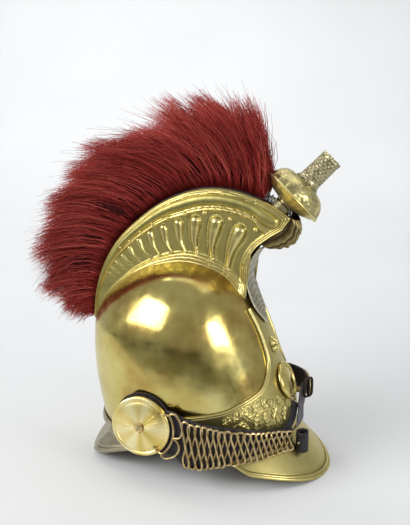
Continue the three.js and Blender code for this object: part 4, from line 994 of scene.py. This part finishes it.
def hairStrands(count):
    grown = np.random.default_rng(hair["seed"])
    t, y = grown.uniform(hair["start"], hair["end"], count), grown.uniform(-1, 1, count)
    lock = (t / hair["lockStep"] + 0.3 * y).astype(int) * hair["lockRows"]
    lock = lock + ((y + 1) * (hair["lockRows"] / 2 - 0.01)).astype(int)
    lock -= lock.min()
    tuft = (t / hair["tuftStep"] + 0.7 * np.sign(y)).astype(int) * 2 + (y > 0)
    tuft -= tuft.min()
    locks, tufts = lock.max() + 1, tuft.max() + 1
    root, up, tip = hairArc(t)
    root[:, 1] = y * np.minimum(hair["rootHalf"], readTable(crestHalves, 1, t) - hair["rootInset"])
    reach = 1 - vary["length"]["hair"] * grown.random(count) ** 2
    reach *= (1 - vary["length"]["lock"] * grown.random(locks))[lock]
    reach *= (1 + vary["length"]["tuft"] * grown.standard_normal(tufts))[tuft]
    stray = grown.random(count) < hair["strays"]
    reach = np.where(stray, hair["strayReach"], np.minimum(reach, hair["longest"]))
    tip = root * (1, 0, 1) + (tip - root * (1, 0, 1)) * reach[:, None]
    tip[:, 1] = y * readTable(hair["tips"], 3, t) * (0.75 + 0.3 * grown.random(count))
    size = np.bincount(lock, minlength=locks)[lock]
    middle = np.stack([np.bincount(lock, tip[:, k], locks)[lock] / size for k in range(3)], -1)
    tip += (middle - tip) * (hair["gather"] * grown.uniform(0.6, 1.2, count))[:, None] * ~stray[:, None]
    tip += (grown.normal(0, vary["tip"]["tuft"], (tufts, 3)) * (1, 0.8, 1))[tuft]
    tip += grown.normal(0, vary["tip"]["lock"], (locks, 3))[lock]
    tip += grown.normal(0, vary["tip"]["hair"], (count, 3))
    tip[stray] += grown.normal(0, vary["tip"]["stray"], (stray.sum(), 3))
    tip = np.clip(tip, hair["boxLow"], hair["boxHigh"])
    bend = root + up * (np.linalg.norm(tip - root, axis=1) * grown.normal(0.5, 0.1, count))[:, None]
    bend += (grown.normal(0, vary["bend"]["tuft"], (tufts, 3)) * (1, 0, 1))[tuft]
    bend += (grown.normal(0, vary["bend"]["lock"], (locks, 3)) * (1, 0, 1))[lock]
    bend[:, 1] = root[:, 1] * 0.4 + tip[:, 1] * 0.6
    share = np.linspace(0, 1, hair["rings"])[None, :, None]
    spine = (root[:, None] * (1 - share) ** 2 + bend[:, None] * 2 * share * (1 - share)
             + tip[:, None] * share**2)
    spine = spine + grown.normal(0, vary["bend"]["hair"], (count, 1, 3)) * np.sin(pi * share)
    run = unit(np.gradient(spine, axis=1))
    aside = unit(np.cross(run, (0.0, 1.0, 0.0)))
    other = np.cross(run, aside)
    thick = (hair["rootThick"] * (1 - share) + hair["tipThick"] * share) / 2
    thick = thick * grown.uniform(0.75, 1.25, (count, 1, 1))
    turn = np.array([0, 2 * pi / 3, 4 * pi / 3])[None, None, :, None]
    corners = (spine[:, :, None] + (thick * aside)[:, :, None] * np.cos(turn)
               + (thick * other)[:, :, None] * np.sin(turn))
    shade = shades["middle"] + vary["shade"]["lock"] * grown.standard_normal(locks)[lock]
    shade = shade + vary["shade"]["tuft"] * grown.standard_normal(tufts)[tuft]
    shade = shade + vary["shade"]["hair"] * grown.standard_normal(count)
    # painted shade: each hair darkens towards its root, down in the channel between the crest sides
    rootShade = shades["root"] + (1 - shades["root"]) * smooth(0, shades["rootEnd"], share[0, :, 0])
    shade = shade[:, None] * rootShade[None] + shades["tip"] * share[0, :, 0][None]
    return corners, np.repeat(shade[:, :, None], 3, axis=2)


def strandMesh(corners, shade):  # three-sided tapering strands as one mesh
    count, rings = corners.shape[:2]
    first = (np.arange(count) * rings * 3)[:, None, None]
    low = np.arange(rings - 1)[None, :, None] * 3 + np.arange(3)[None, None, :]
    beside = np.arange(rings - 1)[None, :, None] * 3 + (np.arange(3)[None, None, :] + 1) % 3
    sides = np.stack([first + low, first + beside, first + beside + 3, first + low + 3], -1).reshape(-1, 4)
    ends = first[:, 0] + np.array([[2, 1, 0]])
    tips = first[:, 0] + np.array([[0, 1, 2]]) + (rings - 1) * 3
    mesh = bpy.data.meshes.new("strands")
    faces = sides.tolist() + ends.tolist() + tips.tolist()
    mesh.from_pydata(place(corners.reshape(-1, 3)).tolist(), [], faces)
    mesh.attributes.new("shade", "FLOAT", "POINT").data.foreach_set("value", shade.ravel())
    return mesh


def backingStrip(u, v):  # the woven strip that holds the roots
    t = backing["start"] + (backing["end"] - backing["start"]) * v
    root, up, _ = hairArc(t)
    spots = root + up * backing["lift"]
    spots[:, 1] = (2 * u - 1) * np.minimum(backing["half"], readTable(crestHalves, 1, t) - backing["inset"])
    return spots


# painted shade: a dark core fills the hair where the shadow between the hairs falls
body = capEnds(gridSheet(28, 90, hairShadowCore, closed=True, core=(-20, 0, 330)))
addPiece("hair_shadow_body", body, hairShadowFill, "red_hair", "hair_crest")
corners, shade = hairStrands(hair["strands"])
halves = zip(np.array_split(corners, hair["pieces"]), np.array_split(shade, hair["pieces"]))
for k, (part, tone) in enumerate(halves):
    addPiece(f"hair_strands_{k + 1}", strandMesh(part, tone), redHair, "red_hair", sharp=180)
addPiece("hair_backing", gridSheet(8, 120, backingStrip), blackLeather, "black_leather", wall=backing["wall"])
print("hair done")

# Plume holder: a bun-shaped bulb of two stamped halves and a tube, on one leaning axis
plume = dict(foot=(108.4, -1.8, 298.6), axis=unit(np.array([0.64, 0.34, 0.69])), bulbStart=4.8,
             tubeStart=35.1, steps=144, knob=2.4,
             stem=[(0, -8), (11, -8), (11, 1.5), (9, 3), (9, 4.5), (0, 4.5)],  # radius, height
             bulb=[(6, 0), (13, 0), (21.5, 2), (29, 5.4), (33.9, 8.8), (35.4, 9.4), (35.9, 9.9), (35.9, 10.6),
                   (35.4, 11.2), (34.6, 12), (33.8, 16), (31, 21.6), (27, 26), (21.5, 28.8), (15, 30),
                   (6, 30)],
             tube=[(0, 0), (14.4, 0), (14.4, 1.4), (13.8, 2.4), (13.2, 2.8), (13.2, 4.2), (12.8, 5),
                   (12.4, 6), (12.3, 12), (12.1, 20), (11.9, 28), (11.8, 34), (12.1, 35), (12.1, 36.4),
                   (11.7, 37), (11.9, 38.4), (12, 39), (10.8, 39), (10.6, 33), (10.6, 6), (0, 6)])
dome = dict(seam=10.3, seamRadius=35, collar=15, tall=34, leaves=9, leaf=0.55, backLeaf=0.4, ground=-0.15,
            dent=0.4, flutes=24, flute=0.12)  # leaves from the collar to the seam, faint flutes below it
sleeve = dict(beads=32, bead=0.4, beadTop=2.6, low=6.2, high=34, mouth=36, inside=11.5, rows=8, leaves=15,
              leaf=0.13, grain=40, grainHigh=0.06)  # beads at the foot, rows of small leaves, a ragged mouth


def plumePart(profile, start, fine, shape):
    dense = []
    for low, high in zip(profile, profile[1:]):
        steps = max(1, int(hypot(high[0] - low[0], high[1] - low[1]) / fine))
        dense += [tuple(np.array(low) + (np.array(high) - low) * k / steps) for k in range(steps)]
    form = spunShape([*dense, profile[-1]], plume["steps"], (0, 0, 0), (0, 0, 1))
    recess = form.verts.layers.float.new("recess")
    form.normal_update()
    centre = Vector(place((0, 0, 0)))
    for vert in form.verts:
        local = (vert.co - centre) / mm
        high, vert[recess] = shape(hypot(local.x, local.y), local.z, atan2(local.y, local.x))
        vert.co += vert.normal * high * mm
    lean = Vector((0, 0, 1)).rotation_difference(Vector(plume["axis"])).to_matrix().to_4x4()
    foot = Matrix.Translation(place(np.array(plume["foot"]) + plume["axis"] * start))
    bmesh.ops.transform(form, matrix=foot @ lean @ Matrix.Translation(-centre), verts=form.verts)
    return form


def leafShape(turn, share, width):  # a pointed leaf with a midrib: its height, and whether a spot is in it
    edge = width * (1 - min(max(share, 0), 1) ** 2.4)
    if share < 0 or abs(turn) >= edge:
        return 0.0, False
    vein = 0.45 * max(0, 1 - abs(turn) / 0.13) + 0.22 * cos(2 * pi * (share * 4.5 - abs(turn) * 1.1))
    return 0.35 + 0.65 * (1 - (turn / edge) ** 2) ** 0.5 + vein, True


def stemRelief(radius, height, angle):
    return 0.0, 0.6


def bulbRelief(radius, height, angle):
    dent = dome["dent"] * sin(3 * angle + 1) * sin(radius / 5)
    if height > dome["seam"] + 1.5 and radius > dome["collar"]:
        reach = (dome["seamRadius"] - radius) / (dome["seamRadius"] - dome["collar"])
        lead = 1 - min(max((height - dome["seam"]) / dome["tall"] + reach * 0.43, 0), 1)
        turn = angle * dome["leaves"] / (2 * pi)
        front, inside = leafShape(turn % 1 * 2 - 1, lead * 1.08, 0.98)
        if inside:
            return dome["leaf"] * front + dent, max(0, 0.75 - 0.5 * front)
        back, inside = leafShape((turn + 0.5) % 1 * 2 - 1, (lead - 0.25) / 0.74, 0.95)
        if inside:
            return dome["backLeaf"] * back + dent, max(0, 0.85 - 0.4 * back)
        return dent + dome["ground"], 0.95
    if height < dome["seam"] - 1.2:
        flute = cos(angle * dome["flutes"])
        return dent + dome["flute"] * flute * smooth(12, 20, radius), 0.2 + 0.15 * flute
    return 0.0, 0.1


def tubeRelief(radius, height, angle):
    if radius > 12.5 and height < sleeve["beadTop"]:
        return sleeve["bead"] * cos(angle * sleeve["beads"]), 0.9 - 0.4 * cos(angle * sleeve["beads"])
    if height > sleeve["mouth"]:
        return 0.35 * sin(angle * 7) + 0.3 * sin(angle * 17), 0.3
    if radius < sleeve["inside"] or not sleeve["low"] <= height <= sleeve["high"]:
        return 0.0, 0.3
    tall = (sleeve["high"] - sleeve["low"]) / sleeve["rows"]
    row = min(int((height - sleeve["low"]) / tall), sleeve["rows"] - 1)
    turn = angle * sleeve["leaves"] / (2 * pi) + row * 0.5
    front, inside = leafShape(turn % 1 * 2 - 1, (height - sleeve["low"]) / tall - row, 0.95)
    if inside:
        return sleeve["leaf"] * front, max(0, 0.7 - 0.5 * front)
    return sleeve["grainHigh"] * sin(angle * sleeve["grain"]), 0.8


seamMiddle = np.array(plume["foot"]) + plume["axis"] * (plume["bulbStart"] + dome["seam"])
lowest = unit(plume["axis"] * plume["axis"][2] - (0, 0, 1))
knobAt = place(seamMiddle + lowest * (dome["seamRadius"] + 1))
knob = bmesh.new()
bmesh.ops.create_uvsphere(knob, u_segments=24, v_segments=14, radius=plume["knob"] * mm,
                          matrix=Matrix.Translation(knobAt))
addPiece("plume_foot", plumePart(plume["stem"], 0, 2, stemRelief), agedBrass, "aged_brass", "plume_stem")
addPiece("plume_lens", plumePart(plume["bulb"], plume["bulbStart"], 0.8, bulbRelief), filmedBrass,
         "stamped_brass", "plume_bulb")
addPiece("plume_knob", knob, filmedBrass, "stamped_brass")
addPiece("plume_socket", plumePart(plume["tube"], plume["tubeStart"], 0.6, tubeRelief), agedBrass,
         "aged_brass", "plume_tube")
print("plume holder done")

# Rosettes: turned discs that hold the chin chains, each on a square brass bolt
rosette = dict(back=98.3, rise=6.5, steps=128, profile=[  # radius, height
    (3.6, 0), (31, 0), (33, 0.4), (34, 1.4), (34, 3.2), (33.5, 4.2), (32.4, 4.7), (31.1, 4.6), (30.1, 4.1),
    (29.6, 3.5), (28.9, 3.4), (27.8, 3.9), (24, 4.7), (18, 5.6), (12, 6.3), (7.0, 6.6), (6.2, 6.5),
    (5.7, 5.7), (3.6, 5.4)])
bolt = dict(side=7.6, head=2.6, edge=0.6, shank=2.9, start=92.2, proud=1.4, seat=5.6, seatFoot=5, seatTop=5.6)
# painted shade: dark discs where the bracket wires enter the helmet stand for the shadow inside the holes
holeShadows = dict(at=[(5.0, 85.3), (-1.8, 44.3)], radius=1.5, deep=1.6, out=4.1)  # x, z


def makeBolt(side):
    form = bmesh.new()
    top = rosette["back"] + rosette["rise"] + bolt["proud"]
    middle = Matrix.Translation(place((rosetteX, side * (top - bolt["head"] / 2), rosetteZ)))
    block = Matrix.Diagonal((bolt["side"] * mm, bolt["head"] * mm, bolt["side"] * mm, 1))
    bmesh.ops.create_cube(form, size=1, matrix=middle @ block)
    bmesh.ops.bevel(form, geom=form.edges[:], offset=bolt["edge"] * mm, affect="EDGES", segments=2,
                    profile=0.5, material=-1)
    seatFoot, seatTop = rosette["back"] + bolt["seatFoot"], rosette["back"] + bolt["seatTop"]
    for radius, low, high in ((bolt["shank"], bolt["start"], top - bolt["head"]),
                              (bolt["seat"], seatFoot, seatTop)):
        addRound(form, (rosetteX, side * (low + high) / 2, rosetteZ), radius, high - low, 32)
    return form


for name, side in bothSides:
    foot = (rosetteX, side * rosette["back"], rosetteZ)
    turned = spunShape(rosette["profile"], rosette["steps"], foot, (0, side, 0))
    addPiece("turned_rosette_" + name, turned, brushedBrass, "polished_brass", "rosette_" + name)
    addPiece("square_bolt_" + name, makeBolt(side), wireBrass, "dark_steel", "rosette_bolt_" + name)
    holeShadowDiscs = bmesh.new()
    for x, z in holeShadows["at"]:
        y = side * (rosette["back"] + holeShadows["out"])
        addRound(holeShadowDiscs, (x, y, z), holeShadows["radius"], holeShadows["deep"], 16)
    addPiece("wire_hole_shadows_" + name, holeShadowDiscs, darkSteel, "dark_steel")

# Chin chains: figure-eight wire links on a leather lining, hooked to the rosette by a bent bracket
chain = dict(wire=2.5, links=19, start=0.13, end=0.985, wide=1.2, shingle=0.3, over=0.62, roundness=0.7,
             right=[  # x, y, low and high edge
                 (17.6, 100, 36, 84), (30, 101, 27, 79.5), (50, 100.5, 26, 75), (67, 97.5, 29, 73),
                 (84, 92.5, 33, 71), (101, 82, 34.5, 67.5), (113, 68, 34.5, 63.5), (124, 51, 35.4, 59.5),
                 (135, 33, 34, 55)],
             left=[
                 (17.6, 100, 37, 83), (30, 101, 36, 82), (50, 100.5, 39, 82), (67, 97.5, 43, 83),
                 (84, 92, 48, 85), (101, 81, 55, 88), (114, 67, 62, 91), (127, 47, 70, 95),
                 (137.5, 23, 77, 98)])
unevenLinks = dict(along=0.05, tall=0.02, rise=0.015)
bracket = dict(wire=2.6, y=101.6,
               arc=[  # x, z
                   (15.3, 83.9), (19.3, 74.3), (20.2, 62.9), (17.7, 52.3), (12.9, 44.0), (8.0, 38.4)],
               upper=[(15.5, 83.5), (18.0, 85.6), (22.7, 85.0), (26.1, 80.7), (28.6, 76.0), (30.3, 69.2),
                      (29.6, 63.7), (27.0, 59.3), (19.9, 57.6)],
               lower=[(19.9, 57.6), (24.5, 54.0), (26.5, 49.5), (26.5, 45.4), (24.4, 41.0), (21.0, 37.0),
                      (15.5, 34.0), (10.0, 32.8), (5.9, 35.2), (6.5, 38.6)],
               hooks=[[(5.0, 85.3, 102.4), (9, 85.2, 105), (14, 84.6, 104.2), (16.5, 83.6, 101.6)],  # x, z, y
                      [(-1.8, 44.3, 102.4), (1.5, 42.2, 105), (5, 39.4, 104.2), (7.4, 38.2, 101.6)]])
lining = dict(over=2.5, inset=1.9, startX=-11, tuck=1.4, lift=6, wall=1.8)
tab = dict(radius=32.4, x=-17.2, y=95.8, z=70.6)  # the round of leather that shows above the rosette


def chainAt(rows, side, t, rise, out):
    low = alongPoints([(x, side * y, z) for x, y, z, _ in rows], t)
    high = alongPoints([(x, side * y, z) for x, y, _, z in rows], t)
    level = [(x, side * y, 0) for x, y, _, _ in rows]
    run = runAlong(level, t, 0.005)
    outward = np.stack([run[:, 1], -run[:, 0], 0 * t], -1) * -side
    return low + (high - low) * np.reshape(rise, (-1, 1)) + outward * np.reshape(out, (-1, 1))


def chainWires(rows, side):
    spine = chainAt(rows, side, np.linspace(0, 1, 200), np.full(200, 0.5), np.zeros(200))
    length = np.linalg.norm(np.diff(spine, axis=0), axis=1).sum()
    pitch = (chain["end"] - chain["start"]) / chain["links"]
    angle = np.linspace(0, 2 * pi, 44, endpoint=False)
    wires = []
    for k in range(chain["links"]):
        middle = chain["start"] + pitch * (k + 0.5 + unevenLinks["along"] * chance.standard_normal())
        across = chain["wide"] * pitch / 2 * np.sin(2 * angle)
        bow = np.sign(np.cos(angle)) * np.abs(np.cos(angle)) ** chain["roundness"]
        rise = 0.5 + 0.5 * bow * (1 + unevenLinks["tall"] * chance.standard_normal())
        rise = rise + unevenLinks["rise"] * chance.standard_normal()
        tilt = across * length * chain["shingle"] * np.cos(angle) ** 2
        out = tilt - chain["wire"] * chain["over"] * np.sin(angle)
        wires.append(chainAt(rows, side, middle + across, rise, out))
    return wires


def bracketWires(side):
    wires = [[(x, side * bracket["y"], z) for x, z in alongPoints(bracket[key], np.linspace(0, 1, 40))]
             for key in ("arc", "upper", "lower")]
    return wires + [[(x, side * y, z) for x, z, y in alongPoints(hook, np.linspace(0, 1, 16))]
                    for hook in bracket["hooks"]]


def liningSheet(rows, side):
    rows = [(lining["startX"], rows[0][1] - lining["tuck"], rows[0][2], rows[0][3]), *rows]

    def sheet(u, v):
        spots = chainAt(rows, side, v, u, 0 * u - lining["inset"])
        spots[:, 2] += lining["lift"] * smooth(0.4, 0.75, v) * (1 - u) + lining["over"] * u
        return spots
    return sheet


for name, side in bothSides:
    links = wireMesh(chainWires(chain[name], side), chain["wire"], True)
    addPiece("chain_links_" + name, links, wireBrass, "wire_brass", "chin_chain_" + name)
    bent = wireMesh(bracketWires(side), bracket["wire"], False)
    addPiece("chain_bracket_" + name, bent, wireBrass, "wire_brass")
    hide = gridSheet(14, 120, liningSheet(chain[name], side), core=(20, 0, 60))
    addPiece("lining_leather_" + name, hide, blackLeather, "black_leather", "chin_lining_" + name,
             wall=lining["wall"])
    ear = bmesh.new()
    addRound(ear, (tab["x"], side * tab["y"], tab["z"]), tab["radius"], lining["wall"], 72)
    addPiece("leather_tab_" + name, ear, blackLeather, "black_leather")
print("chains done")

# Strap, its free end, the keeper loop on the peak, the buckle and a thong that ties the strap to the chain
strap = dict(wide=10, wall=1.8, facing=(0.86, -0.42, 0.1), point=0.14, edge=0.25,
             line=[(122.5, -34, 50), (127, -24, 57), (128.6, -14, 65), (128.2, -7, 72), (127.6, -2.5, 77)],
             endLine=[(135, 12.4, 95), (133, 10.5, 84), (132.6, 9, 77.5), (133.2, 2, 71), (135.4, -6, 65),
                      (135, -16, 55.5)])
keeper = dict(x=142.6, y=-24.5, low=30, high=53, radiusX=6.8, radiusY=8, wall=1.8, rivet=1.4,
              rivetAt=(140.6, -32.4, 41.6))
buckle = dict(middle=(138.5, 13, 90), halfWide=6.5, halfHigh=10.5, bar=3, across=(0.439, 0.899, 0),
              square=0.45)
thong = dict(thick=1.1, line=[(136, -16, 56.5), (135.2, -20, 55.2), (134.5, -26, 55.6), (133.2, -33, 56.4)])


def strapSheet(points, pointed):
    def sheet(u, v):
        spots = alongPoints(points, v)
        run = runAlong(points, v, 0.01)
        across = unit(np.cross(run, strap["facing"]))
        tip = np.sqrt(np.clip((1 - v) / strap["point"], 0.02, 1)) if pointed else 1
        crown = 0.5 * strap["wall"] - strap["edge"] * (2 * u - 1) ** 4
        spots = spots + across * ((u - 0.5) * strap["wide"] * tip)[:, None]
        return spots + np.cross(across, run) * crown[:, None]
    return sheet


def keeperRing(u, v):
    angle = 2 * pi * u
    bulge = 1 + 0.02 * np.sin(pi * v)
    return np.stack([keeper["x"] + keeper["radiusX"] * np.cos(angle) * bulge,
                     keeper["y"] + keeper["radiusY"] * np.sin(angle) * bulge,
                     keeper["low"] + (keeper["high"] - keeper["low"]) * v], -1)


def buckleWires():  # a rounded frame and its prong
    angle = np.linspace(0, 2 * pi, 48, endpoint=False)
    wide, high = (np.sign(f) * np.abs(f) ** buckle["square"] for f in (np.cos(angle), np.sin(angle)))
    middle, across, up = np.array(buckle["middle"]), np.array(buckle["across"]), np.array((0, 0, 1))
    ring = middle + across * (wide * buckle["halfWide"])[:, None] + up * (high * buckle["halfHigh"])[:, None]
    prong = middle + up * np.linspace(-1, 1, 12)[:, None] * buckle["halfHigh"]
    return [ring, np.vstack([prong, prong[::-1]])]


held = gridSheet(8, 40, strapSheet(strap["line"], False), core=(60, 20, 60))
addPiece("strap_lower", held, blackLeather, "black_leather", "chin_strap", wall=strap["wall"])
loose = gridSheet(8, 60, strapSheet(strap["endLine"], True), core=(60, 20, 60))
addPiece("strap_free_end", loose, greyLeather, "black_leather", "chin_strap_end", wall=strap["wall"])
loop = gridSheet(48, 12, keeperRing, closed=True, core=(keeper["x"], keeper["y"], 42))
addPiece("keeper_loop", loop, blackLeather, "black_leather", "strap_keeper", wall=keeper["wall"])
rivet = bmesh.new()
bmesh.ops.create_uvsphere(rivet, u_segments=20, v_segments=12, radius=keeper["rivet"] * mm,
                          matrix=Matrix.Translation(place(keeper["rivetAt"])))
addPiece("keeper_rivet", rivet, wireBrass, "wire_brass")
addPiece("wire_buckle", wireMesh(buckleWires(), buckle["bar"], True), darkSteel, "dark_steel",
         "strap_buckle")
tie = wireMesh([alongPoints(thong["line"], np.linspace(0, 1, 24))], thong["thick"], False)
addPiece("strap_thong", tie, greyLeather, "black_leather")
print("straps done")

sizes = [[list(corner) for corner in box] for box in (cadBox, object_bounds())]
